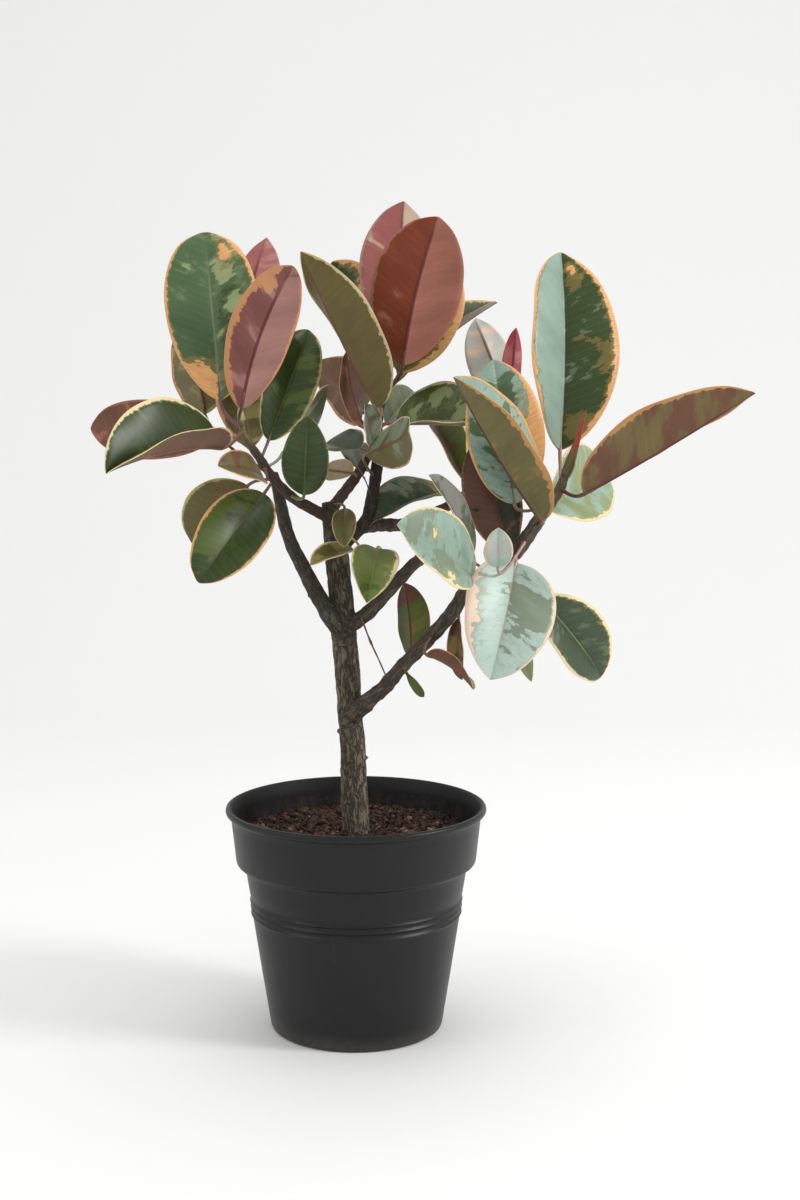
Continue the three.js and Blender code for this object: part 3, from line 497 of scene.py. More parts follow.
def leaf_upper(settings):
    """Waxy upper side: green, paler blocks between the side veins, partly painted sheen where a half is patched
    almost whole, and a ragged cream or orange margin.
    """
    paint = Paint("leaf upper side")
    at = leaf_pattern(paint)
    core, pale, rim = (paint.attribute(n, "Color") for n in ("core_colour", "pale_colour", "rim_colour"))
    stalk = paint.attribute("stalk_colour", "Color")
    middle = paint.mix(0.55, paint.mix(0.45, core, rim), settings.moss)
    ragged = at["blot"] + (at["jag"] - 0.5) * 0.30
    tooth = (at["jag"] - 0.5) * 1.4 + (at["blot"] - 0.5) * 0.6
    dark = paint.step(at["darker"] + tooth * 0.6, 0.38, 0.55) * paint.step(at["darker"], 0.05, 0.25)
    colour = paint.mix(dark * 0.8, core, settings.deep)
    # Pale blocks: real variegation and, where a half is patched almost whole, painted sheen standing in for
    # reflected light.
    half = paint.step(at["blot"] * 0.5 + at["jag"] * 0.5 + at["pale"] * 0.25, 0.585, 0.615)
    colour = paint.mix(half * 0.22, colour, pale)
    colour = paint.mix(paint.step(ragged + at["pale"] * 0.5, 0.735, 0.760) * 0.90, colour, pale)
    mid = paint.step(at["middling"] + tooth * 0.8, 0.36, 0.42) * paint.step(at["middling"], 0.05, 0.25)
    colour = paint.mix(mid * 0.85, colour, middle)
    level = 0.36 + at["blot"] * 0.52 + at["stripe"] * 0.18 + at["fine"] * 0.12
    colour = paint.mix(1.0, colour, paint.vector(level, level, level), "MULTIPLY")
    edge = at["rim"] + tooth * 0.85 + (at["fine"] - 0.5) * 0.3
    near = paint.step(at["rim"], 0.02, 0.12)
    colour = paint.mix(paint.step(edge, 0.24, 0.32) * near * 0.65, colour, middle)
    margin = paint.step(edge, 0.49, 0.54) * near
    streaked = paint.mix(paint.step(at["stripe"], 0.4, 0.7) * 0.4, rim, settings.cream)
    colour = paint.mix(margin * 0.95, colour, streaked)
    line = paint.step(abs(at["across"]), 0.968, 0.990)
    colour = paint.mix(line * 0.45, colour, paint.mix(0.55, rim, settings.cream))
    veins = paint.step(at["vein"], 0.80, 0.98)
    colour = paint.mix(veins * 0.015, colour, settings.cream)
    rib = paint.step(at["far"], 0.013, 0.006) * paint.step(at["run"], 1.02, 0.55)
    colour = paint.mix(rib * 0.62, colour, paint.mix(0.45, pale, stalk))
    colour = paint.mix(paint.step(at["fine"], 0.64, 0.74) * 0.08, colour, settings.cream)
    rough = settings.upper_roughness + (at["fine"] - 0.5) * 0.12 + margin * 0.05
    height = veins * -0.025 + at["stripe"] * 0.10 + at["blot"] * 1.1 + at["fine"] * 0.06
    return paint.finish(Base_Color=colour, Roughness=rough,
                        Coat_Weight=settings.gloss * (1.0 - margin * 0.4), Coat_Roughness=0.28,
                        Normal=paint.bump(height, 0.0006, 0.5), Specular_IOR_Level=0.28)


def leaf_under(settings):
    """Duller underside: its own colour and patches, a raised dark midrib and pale side veins."""
    paint = Paint("leaf underside")
    at = leaf_pattern(paint)
    back, second, rim = (paint.attribute(n, "Color") for n in ("back_colour", "second_colour", "rim_colour"))
    stalk = paint.attribute("stalk_colour", "Color")
    ragged = at["blot"] + (at["jag"] - 0.5) * 0.2
    # Underside patches follow the same pale share, so a half patched almost whole is partly painted sheen here
    # too.
    colour = paint.mix(paint.step(ragged + at["pale"] * 0.5, 0.70, 0.80) * 0.9, back, second)
    level = 0.40 + at["blot"] * 0.62 + at["stripe"] * 0.20 + at["fine"] * 0.16
    colour = paint.mix(1.0, colour, paint.vector(level, level, level), "MULTIPLY")
    edge = at["rim"] + (at["jag"] - 0.5) * 1.2 + (at["blot"] - 0.5) * 0.8
    margin = paint.step(edge, 0.44, 0.56) * paint.step(at["rim"], 0.02, 0.12)
    colour = paint.mix(margin * 0.85, colour, paint.mix(0.25, rim, second))
    line = paint.step(abs(at["across"]), 0.965, 0.990)
    colour = paint.mix(line * 0.5, colour, paint.mix(0.2, rim, settings.cream))
    veins = paint.step(at["vein"], 0.60, 1.0) * paint.step(at["blot"] * 0.5 + at["jag"] * 0.5, 0.42, 0.60)
    colour = paint.mix(veins * 0.05, colour, paint.mix(0.4, second, settings.cream))
    rib = paint.step(at["far"], 0.020, 0.008) * paint.step(at["run"], 1.05, 0.70)
    colour = paint.mix(rib * 0.88, colour, stalk)
    colour = paint.mix(paint.step(at["fine"], 0.56, 0.72) * 0.12, colour, stalk)
    height = veins * 0.07 + at["stripe"] * 0.14 + at["fine"] * 0.12 + at["blot"] * 0.9
    return paint.finish(Base_Color=colour, Roughness=settings.under_roughness + (at["fine"] - 0.5) * 0.14,
                        Coat_Weight=settings.gloss * 0.25, Coat_Roughness=0.35,
                        Normal=paint.bump(height, 0.0005, 0.6), Specular_IOR_Level=0.28)


def stalk_shader(settings):
    """Leaf stalk: maroon to olive, streaked along its length."""
    paint = Paint("leaf stalk")
    place = paint.place()
    stalk, core = paint.attribute("stalk_colour", "Color"), paint.attribute("core_colour", "Color")
    run = paint.attribute("run")
    streak = paint.noise(paint.stretch(place, (1, 1, 0.3)), 700, 4, 0.6)
    fine = paint.noise(place, 1500, 2, 0.6)
    colour = paint.mix(paint.step(streak, 0.35, 0.75) * 0.5 * run, stalk, core)
    colour = paint.mix(paint.step(fine, 0.55, 0.75) * 0.2, colour, settings.cream)
    return paint.finish(Base_Color=colour, Roughness=0.38 + fine * 0.15, Coat_Weight=0.15,
                        Normal=paint.bump(streak, 0.0002, 0.6), Specular_IOR_Level=0.5)


def bud_shader():
    """Rolled bud sheath: green or olive at the foot, red at the tip, streaked lengthwise."""
    paint = Paint("bud sheath")
    place = paint.place()
    foot, tip = paint.attribute("foot_colour", "Color"), paint.attribute("tip_colour", "Color")
    run = paint.attribute("run")
    streak = paint.noise(paint.stretch(place, (1, 1, 0.16)), 650, 4, 0.6)
    colour = paint.mix(paint.step(run + (streak - 0.5) * 0.7, 0.22, 0.72), foot, tip)
    colour = paint.mix(paint.step(streak, 0.52, 0.66) * 0.35, colour, shade("#5b1d22"))
    return paint.finish(Base_Color=colour, Roughness=0.34 + streak * 0.18, Coat_Weight=0.3,
                        Normal=paint.bump(streak, 0.0004, 0.7), Specular_IOR_Level=0.5)


# ---- shapes ------------------------------------------------------------------------------------
def place(point):
    """A table's point in metres."""
    x, y, h = point[:3]
    return Vector((x, y * DEPTH, SOIL_TOP + h)) * MM


def piece(name, mesh, materials, slot, *nodes):
    """A finished piece: its object, its materials, and the CAD nodes it stands for."""
    made = bpy.data.objects.new(name, mesh)
    bpy.context.scene.collection.objects.link(made)
    for material in materials:
        mesh.materials.append(material)
    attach(made, "root")
    if nodes:
        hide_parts(*nodes)
    return made


def to_mesh(bm, name, smooth=True):
    """A mesh made from a bmesh, which is freed."""
    mesh = bpy.data.meshes.new(name)
    for face in bm.faces:
        face.smooth = smooth
    bm.to_mesh(mesh)
    bm.free()
    return mesh


def baked(made, *modifiers):
    """The mesh of an object once these modifiers are applied; each is a kind and its settings."""
    for kind, settings in modifiers:
        modifier = made.modifiers.new(kind.title(), kind)
        for key, value in settings.items():
            setattr(modifier, key, value)
    bpy.context.view_layer.update()
    graph = bpy.context.evaluated_depsgraph_get()
    mesh = bpy.data.meshes.new_from_object(made.evaluated_get(graph))
    mesh.name = made.name
    return mesh


def attribute(mesh, name, kind, values):
    """Stores one value for each vertex, or the same one for all."""
    field, width = {"FLOAT": ("value", 1), "FLOAT_VECTOR": ("vector", 3), "FLOAT_COLOR": ("color", 4)}[kind]
    layer = mesh.attributes.get(name) or mesh.attributes.new(name, kind, "POINT")
    values = np.asarray(values, dtype=np.float32)
    if values.size == width:
        values = np.tile(values.reshape(1, width), (len(mesh.vertices), 1))
    layer.data.foreach_set(field, np.ascontiguousarray(values.ravel()))


def colour_attribute(mesh, name, colour):
    attribute(mesh, name, "FLOAT_COLOR", (*colour, 1.0))


def positions(mesh):
    """Where each vertex is, one row each."""
    flat = np.empty(len(mesh.vertices) * 3, dtype=np.float32)
    mesh.vertices.foreach_get("co", flat)
    return flat.reshape(-1, 3)


def smooth_line(rows, where):
    """The point at a place, 0 to 1, on the smooth line through the points."""
    last = len(rows) - 1
    at = min(max(where, 0), 1) * last
    i = min(int(at), last - 1)
    w = at - i
    b, c = rows[i], rows[i + 1]
    a = rows[i - 1] if i else b * 2 - c
    d = rows[i + 2] if i + 2 <= last else c * 2 - b
    ab, bc, cd = ((q - p).length ** 0.5 for p, q in ((a, b), (b, c), (c, d)))
    start = ((b - a) / ab - (c - a) / (ab + bc) + (c - b) / bc) * bc
    end = ((c - b) / bc - (d - b) / (bc + cd) + (d - c) / cd) * bc
    return (b + start * w + (c * 3 - b * 3 - start * 2 - end) * w ** 2
            + (b * 2 - c * 2 + start + end) * w ** 3)


def stem_rows(name):
    """The points of a stem, in metres."""
    return [place(row) for row in STEMS[name]]


def tubes(name, lines, sides=6):
    """A mesh of round tubes: each line is a list of (point, radius)."""
    curve = bpy.data.curves.new(name, "CURVE")
    curve.dimensions = "3D"
    curve.bevel_depth = 1.0
    curve.bevel_resolution = sides
    curve.use_fill_caps = True
    for line in lines:
        spline = curve.splines.new("POLY")
        spline.points.add(len(line) - 1)
        for point, (at, radius) in zip(spline.points, line):
            point.co, point.radius = (*at, 1), radius
    made = bpy.data.objects.new(name, curve)
    bpy.context.scene.collection.objects.link(made)
    mesh = baked(made)
    bpy.data.objects.remove(made)
    bpy.data.curves.remove(curve)
    return mesh


def make_pot(settings):
    """The pot, spun from one profile that goes up the outside, over the rolled rim and down the inside."""
    b, r, h, wall = settings.foot_radius, settings.rim_radius, settings.height, settings.wall
    outside = [
        (b - 0.006, 0.0), (b - 0.003, 0.0003), (b - 0.0012, 0.0014), (b, 0.0040),
        (b + (r * 0.8 - b) * 0.5, h * 0.26),
        (r * 0.8 - 0.0002, h * 0.505), (r * 0.8, h * 0.515), (r * 0.8065, h * 0.5185), (r * 0.8135, h * 0.5230),
        (r * 0.8075, h * 0.5300), (r * 0.8005, h * 0.5370), (r * 0.8035, h * 0.5440), (r * 0.811, h * 0.5475),
        (r * 0.8165, h * 0.5520), (r * 0.8105, h * 0.5590), (r * 0.8045, h * 0.5665), (r * 0.8075, h * 0.5730),
        (r * 0.815, h * 0.5765), (r * 0.8205, h * 0.5810), (r * 0.8145, h * 0.5880), (r * 0.811, h * 0.5960),
        (r * 0.8125, h * 0.6040), (r * 0.82, h * 0.6120), (r * 0.8350, h * 0.665), (r * 0.8480, h * 0.712),
        (r * 0.8530, h * 0.726), (r * 0.8620, h * 0.7365), (r * 0.8760, h * 0.7425), (r * 0.9020, h * 0.7470),
        (r * 0.9130, h * 0.7505), (r * 0.9195, h * 0.7560), (r * 0.9235, h * 0.7650), (r * 0.9390, h * 0.850),
        (r * 0.9545, h * 0.930), (r * 0.9580, h * 0.9560), (r * 0.9660, h * 0.9640), (r * 0.9820, h * 0.9680),
        (r * 0.9950, h * 0.9740), (r, h * 0.9820), (r * 0.9985, h * 0.9905), (r * 0.9930, h * 0.9965),
        (r * 0.9830, h * 0.9995), (r * 0.9760, h),
    ]
    inside = [
        (r * 0.9660, h * 0.9990), (r * 0.9590, h * 0.9950), (r * 0.9550, h * 0.9880),
        (r * 0.9530 - wall, h * 0.960),
        (r * 0.95 - wall, h * 0.935), (r * 0.933 - wall, h * 0.850), (r * 0.9180 - wall, h * 0.775),
        (r * 0.9130 - wall, h * 0.760), (r * 0.8950 - wall, h * 0.748), (r * 0.8600 - wall, h * 0.735),
        (r * 0.8500 - wall, h * 0.722), (r * 0.792 - wall, h * 0.515), (b - wall, 0.0075),
        (b - wall - 0.0015, wall + 0.0018),
        (b - wall - 0.0045, wall), (b * 0.5, wall), (0.0, wall),
    ]
    under = [(0.0, 0.0016), (b * 0.5, 0.0016), (b - 0.0090, 0.0016), (b - 0.0074, 0.0004)]
    bm = bmesh.new()
    points = [bm.verts.new((x, 0, z)) for x, z in under + outside + inside]
    for a, c in zip(points, points[1:]):
        bm.edges.new((a, c))
    bmesh.ops.spin(bm, geom=bm.verts[:] + bm.edges[:], angle=2 * math.pi, steps=POT_STEPS, use_merge=True,
                   axis=(0, 0, 1), cent=(0, 0, 0))
    bmesh.ops.remove_doubles(bm, verts=bm.verts, dist=1e-6)
    bmesh.ops.recalc_face_normals(bm, faces=bm.faces)
    shell = bpy.data.objects.new("pot_shell", to_mesh(bm, "pot_shell"))
    bpy.context.scene.collection.objects.link(shell)
    cutters, drain = bmesh.new(), 0.006
    for i in range(settings.drain_holes):
        turn = 2 * math.pi * i / settings.drain_holes
        at = Vector((math.cos(turn), math.sin(turn), 0)) * b * 0.7
        bmesh.ops.create_cone(cutters, cap_ends=True, segments=32, radius1=drain, radius2=drain, depth=0.02,
                              matrix=Matrix.Translation(at))
    cutter = bpy.data.objects.new("drain_cutter", to_mesh(cutters, "drain_cutter"))
    bpy.context.scene.collection.objects.link(cutter)
    mesh = baked(shell, ("BOOLEAN", {"operation": "DIFFERENCE", "solver": "EXACT", "object": cutter}))
    for spare in (shell, cutter):
        bpy.data.objects.remove(spare)
    mesh.set_sharp_from_angle(angle=math.radians(50))
    plastics = [pot_plastic("pot plastic", settings, False),
                pot_plastic("pot plastic inside", settings, True)]
    piece("nursery_pot", mesh, plastics, "pot", "pot")
    bm = bmesh.new()
    bm.from_mesh(mesh)
    for face in bm.faces:
        centre = face.calc_center_median()
        outward = face.normal.x * centre.x + face.normal.y * centre.y
        hollow_wall = outward < -1e-6 and centre.z > wall
        hollow_floor = face.normal.z > 0.9 and centre.z < 0.01
        face.material_index = int(hollow_wall or hollow_floor)
        face.smooth = True
    bm.to_mesh(mesh)
    bm.free()


def make_soil(settings):
    """The soil body with a rough top, and loose bark chips and crumbs lying on it."""
    rng = random.Random(11)
    wall_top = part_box("soil")[1]
    edge = wall_top.x - 0.0004
    low, trunk_clear = 0.1805, 0.0125
    bm = bmesh.new()
    chip = bm.verts.layers.float.new("chip")
    profile = [(0, 0.0030), (0.0740, 0.0030), (0.0752, 0.0060), (0.0918, 0.107), (0.0986, 0.150),
               (0.1060, 0.160), (edge - 0.0012, 0.172), (edge - 0.0006, 0.1800)]
    profile += [(edge * (1 - t / TOP_STEPS), low + 0.0035 * min(1, t / 7)) for t in range(1, TOP_STEPS + 1)]
    points = [bm.verts.new((x, 0, z)) for x, z in profile]
    for a, c in zip(points, points[1:]):
        bm.edges.new((a, c))
    bmesh.ops.spin(bm, geom=bm.verts[:] + bm.edges[:], angle=2 * math.pi, steps=SOIL_STEPS, use_merge=True,
                   axis=(0, 0, 1), cent=(0, 0, 0))
    bmesh.ops.remove_doubles(bm, verts=bm.verts, dist=1e-5)
    bmesh.ops.recalc_face_normals(bm, faces=bm.faces)

    def level(x, y):
        """Height of the soil's top at a place."""
        away = min(math.hypot(x, y) / edge, 1)
        fall = 1 - away ** 6
        return (low + 0.0032 * fall + fall * 0.0022 * noise.noise(Vector((x * 26, y * 26, 1)))
                + fall * 0.0016 * noise.noise(Vector((x * 90, y * 90, 4))))

    for vert in bm.verts:
        if vert.co.z > 0.1804:
            vert.co.z = level(vert.co.x, vert.co.y) - 0.0012
            vert.co.z += 0.0008 * noise.noise(vert.co * 420)
        vert[chip] = 0.12 + 0.2 * noise.noise(vert.co * 200)
    body = to_mesh(bm, "soil_body")

    heap = bmesh.new()
    heap.from_mesh(body)
    for count, small, large in ((settings.crumbs, 0.0010, 0.0021), (settings.chips, 0.0020, 0.0038)):
        made = 0
        while made < count:
            batch = bmesh.new()
            tone = batch.verts.layers.float.new("chip")
            for _ in range(min(CRUMB_BATCH, count - made)):
                made += 1
                away = edge * math.sqrt(rng.random()) * 0.985
                turn = rng.random() * 2 * math.pi
                x, y = away * math.cos(turn), away * math.sin(turn)
                if math.hypot(x, y) < trunk_clear:
                    continue
                size = small + (large - small) * rng.random() ** 2
                flat = 0.35 + 0.45 * rng.random()
                long = 1.0 + 1.1 * rng.random() ** 2
                lean = Matrix.Rotation(rng.uniform(-0.7, 0.7), 4, "X")
                lean = lean @ Matrix.Rotation(rng.uniform(-0.7, 0.7), 4, "Y")
                spin = Matrix.Rotation(rng.random() * 2 * math.pi, 4, "Z")
                lift = level(x, y) + size * (rng.random() * 0.9 - 0.3)
                if away + size * long > edge:
                    size *= 0.6
                where = Matrix.Translation((x, y, lift)) @ lean @ spin @ Matrix.Diagonal((long, 0.8, flat, 1))
                before = len(batch.verts)
                bmesh.ops.create_icosphere(batch, subdivisions=1, radius=size, matrix=where)
                batch.verts.ensure_lookup_table()
                value = rng.gauss(0.50, 0.24) + 0.10 * noise.noise(Vector((x * 30, y * 30, 9)))
                value = min(max(value, 0), 1)
                for vert in batch.verts[before:]:
                    jolt = Vector((rng.uniform(-1, 1), rng.uniform(-1, 1), rng.uniform(-1, 1)))
                    vert.co += jolt * size * 0.22
                    vert[tone] = value
            mesh = to_mesh(batch, "batch", smooth=False)
            heap.from_mesh(mesh)
            bpy.data.meshes.remove(mesh)
    mesh = bpy.data.meshes.new("bark_soil")
    heap.to_mesh(mesh)
    heap.free()
    piece("bark_soil", mesh, [soil_shader(settings)], "soil", "soil")


def make_stems(settings):
    """Trunk and limbs: knobbly tubes fused into one skin, then split and roughened along the grain."""
    rng = random.Random(5)
    lines, scars, samples = [], [], []
    for name in STEMS:
        root_tone, end_tone, late, spacing, knobs = BARK[name]
        tones = shade(root_tone), shade(end_tone)
        rows = stem_rows(name)
        radii = [row[3] * MM for row in STEMS[name]]
        steps = (len(rows) - 1) * STEM_STEPS
        line, run, before = [], rng.uniform(0, 0.05), None
        ring = rng.uniform(0.2, 1.0) * spacing * MM
        scar_turn = rng.uniform(0, ABOUT_A_TURN)
        for i in range(steps + 1):
            at = smooth_line(rows, i / steps)
            k = min(i // STEM_STEPS, len(rows) - 2)
            w = i / STEM_STEPS - k
            radius = radii[k] * (1 - w) + radii[k + 1] * w
            if before is not None:
                run += (at - before).length
                ring -= (at - before).length
                if ring < 0:
                    ring = spacing * MM * rng.uniform(0.6, 1.4)
                    scar_turn += 2.4
                    ahead = (at - before).normalized()
                    side = ahead.orthogonal().normalized()
                    side.rotate(Matrix.Rotation(scar_turn, 3, ahead))
                    scars.append((at + side * radius * 0.86, radius * rng.uniform(0.26, 0.40), ahead))
            before = at.copy()
            grow = 1 + knobs * math.exp(-((ring - 0.3 * spacing * MM) / 0.0024) ** 2)
            grow += knobs * 0.7 * noise.noise(Vector((run * 60, k * 3.1, 1.7)))
            line.append((at, radius * grow))
            share = i / steps
            young = min(max((share - late) / (1 - late), 0), 1)
            tone = [a * (1 - young) + b * young for a, b in zip(*tones)]
            course = smooth_line(rows, min(share + 0.01, 1)) - smooth_line(rows, share - 0.01)
            samples.append((at, run, radius, tone, course.normalized()))
        lines.append(line)
    mesh = tubes("stems", lines, 8)
    bm = bmesh.new()
    bm.from_mesh(mesh)
    for at, size, ahead in scars:
        turn = ahead.to_track_quat("Z", "X").to_matrix().to_4x4()
        bmesh.ops.create_icosphere(bm, subdivisions=2, radius=size,
                                   matrix=Matrix.Translation(at) @ turn @ Matrix.Diagonal((1, 1, 0.62, 1)))
    # The broken end of the middle limb, with old bud scales round it.
    rows = stem_rows("mid_limb")
    end, ahead = rows[-1], (rows[-1] - rows[-2]).normalized()
    for turn, size, lean, back in BROKEN_END:
        side = ahead.orthogonal().normalized()
        side.rotate(Matrix.Rotation(turn, 3, ahead))
        point = (ahead + side * lean).normalized().to_track_quat("Z", "X").to_matrix().to_4x4()
        where = Matrix.Translation(end - ahead * back * MM + side * 3.4 * MM)
        where = where @ point @ Matrix.Diagonal((1.0, 0.5, 1.5, 1))
        bmesh.ops.create_cone(bm, cap_ends=True, segments=10, radius1=size * 0.62 * MM,
                              radius2=size * 0.34 * MM, depth=size * 1.5 * MM, matrix=where)
    bm.to_mesh(mesh)
    bm.free()
    rough = bpy.data.objects.new("stems_rough", mesh)
    bpy.context.scene.collection.objects.link(rough)
    mesh = baked(rough, ("REMESH", {"mode": "VOXEL", "voxel_size": settings.voxel, "use_smooth_shade": True}),
                 ("SMOOTH", {"factor": 0.5, "iterations": 3}))
    bpy.data.objects.remove(rough)

    tree = kdtree.KDTree(len(samples))
    for i, sample in enumerate(samples):
        tree.insert(sample[0], i)
    tree.balance()
    bm = bmesh.new()
    bm.from_mesh(mesh)
    bm.normal_update()
    grain, tone, age = [], [], []
    for vert in bm.verts:
        near, total, colour = tree.find_n(vert.co, 4), 0.0, [0, 0, 0]
        best = samples[near[0][1]]
        offset = vert.co - best[0]
        along = offset.dot(best[4])
        for _, i, distance in near:
            weight = 1 / (distance + 1e-4) ** 2
            total += weight
            colour = [c + weight * s for c, s in zip(colour, samples[i][3])]
        run, radius = best[1] + along, best[2]
        out = offset - best[4] * along
        flat_x, flat_y = out.x - out.z * 0.4, out.y + out.z * 0.6
        spot = Vector((flat_x, flat_y, run))
        old = min(max((radius / MM - 3.5) / 7.0, 0), 1)
        ridge = abs(noise.noise(Vector((flat_x * 330, flat_y * 330, run * 62)))) * 2
        lump = noise.noise(Vector((flat_x * 130, flat_y * 130, run * 80 + 7)))
        fleck = noise.noise(vert.co * 700)
        relief = (min(ridge, 0.5) - 0.25) * 1.1 + lump * 0.7 + fleck * 0.22
        vert.co += vert.normal * (0.25 + 0.75 * old) * relief * settings.roughness * MM
        grain.append(spot[:])
        tone.append((*[c / total for c in colour], 1))
        age.append(old)
    bm.to_mesh(mesh)
    bm.free()
    attribute(mesh, "grain", "FLOAT_VECTOR", grain)
    attribute(mesh, "tone", "FLOAT_COLOR", tone)
    attribute(mesh, "age", "FLOAT", age)
    piece("bark_stems", mesh, [bark_shader(settings)], "bark", *STEMS)


def leaf_template():
    """One blade of two skins joined round their edge, and a stalk of rings, all still flat and unit-sized.

    Each vertex knows its part: 1 upper skin, -1 lower skin, 0 stalk."""
    bm = bmesh.new()
    part = bm.verts.layers.float.new("part")
    bmesh.ops.create_grid(bm, x_segments=COLUMNS, y_segments=ROWS, size=1)
    for vert in bm.verts:
        vert[part] = 1
    copy = bmesh.ops.duplicate(bm, geom=bm.verts[:] + bm.edges[:] + bm.faces[:])["geom"]
    lower = [item for item in copy if isinstance(item, bmesh.types.BMFace)]
    for vert in (item for item in copy if isinstance(item, bmesh.types.BMVert)):
        vert[part] = -1
        vert.co.z = -0.2
    bmesh.ops.reverse_faces(bm, faces=lower)
    for face in lower:
        face.material_index = 1
    bmesh.ops.bridge_loops(bm, edges=[edge for edge in bm.edges if edge.is_boundary])
    tube = bmesh.ops.create_cone(bm, cap_ends=True, segments=10, radius1=1, radius2=1, depth=2,
                                 matrix=Matrix.Translation((0, 0, 9)))["verts"]
    upright = {edge for vert in tube for edge in vert.link_edges
               if abs(edge.verts[0].co.z - edge.verts[1].co.z) > 1}
    bmesh.ops.subdivide_edges(bm, edges=list(upright), cuts=RINGS - 2, use_grid_fill=True)
    for vert in bm.verts:
        if vert.co.z > 5:
            vert[part] = 0
            for face in vert.link_faces:
                face.material_index = 2
    return to_mesh(bm, "leaf_template")


def unit(a):
    """Each row of an array made one long."""
    return a / np.linalg.norm(a, axis=-1, keepdims=True)


def blade_frame(row, s, blunt=1.0):
    """At each place s along a blade: the midrib, its direction, the upper direction, the plus side and half
    the width; then the blade's own direction and upper direction."""
    _, _, start, tip, width, face, _, arch, twist, bow, widest = row
    start, tip = np.array(place(start)), np.array(place(tip))
    along = unit(tip - start)
    front = np.array((0.0, -1.0, 0.0))
    front = unit(front - along * front.dot(along))
    turn = math.radians(face)
    up = math.cos(turn) * front + math.sin(turn) * np.cross(along, front)
    bend = (start + tip) / 2 + 2 * arch * MM * up + 2 * bow * MM * np.cross(along, up)
    s = s[:, None]
    mid = (1 - s) ** 2 * start + 2 * s * (1 - s) * bend + s ** 2 * tip
    ahead = unit(-2 * (1 - s) * start + (2 - 4 * s) * bend + 2 * s * tip)
    top = unit(up - ahead * (ahead @ up)[:, None])
    lean = np.radians(twist) * (s - 0.5)
    top = top * np.cos(lean) + np.cross(ahead, top) * np.sin(lean)
    p, q = 1.3 * widest, 1.3 * (1 - widest)
    flat = np.clip(s[:, 0], 1e-6, 1 - 1e-6)
    half = width / 2 * MM * (flat ** p * (1 - flat) ** q / (widest ** p * (1 - widest) ** q)) ** blunt
    half = half * (1 - 0.22 * np.exp(-((1 - flat) / 0.045) ** 2))
    half = np.maximum(half, np.where(flat < 0.5, 1.5, 0.25) * MM)
    return mid, ahead, top, np.cross(ahead, top), half, along, up


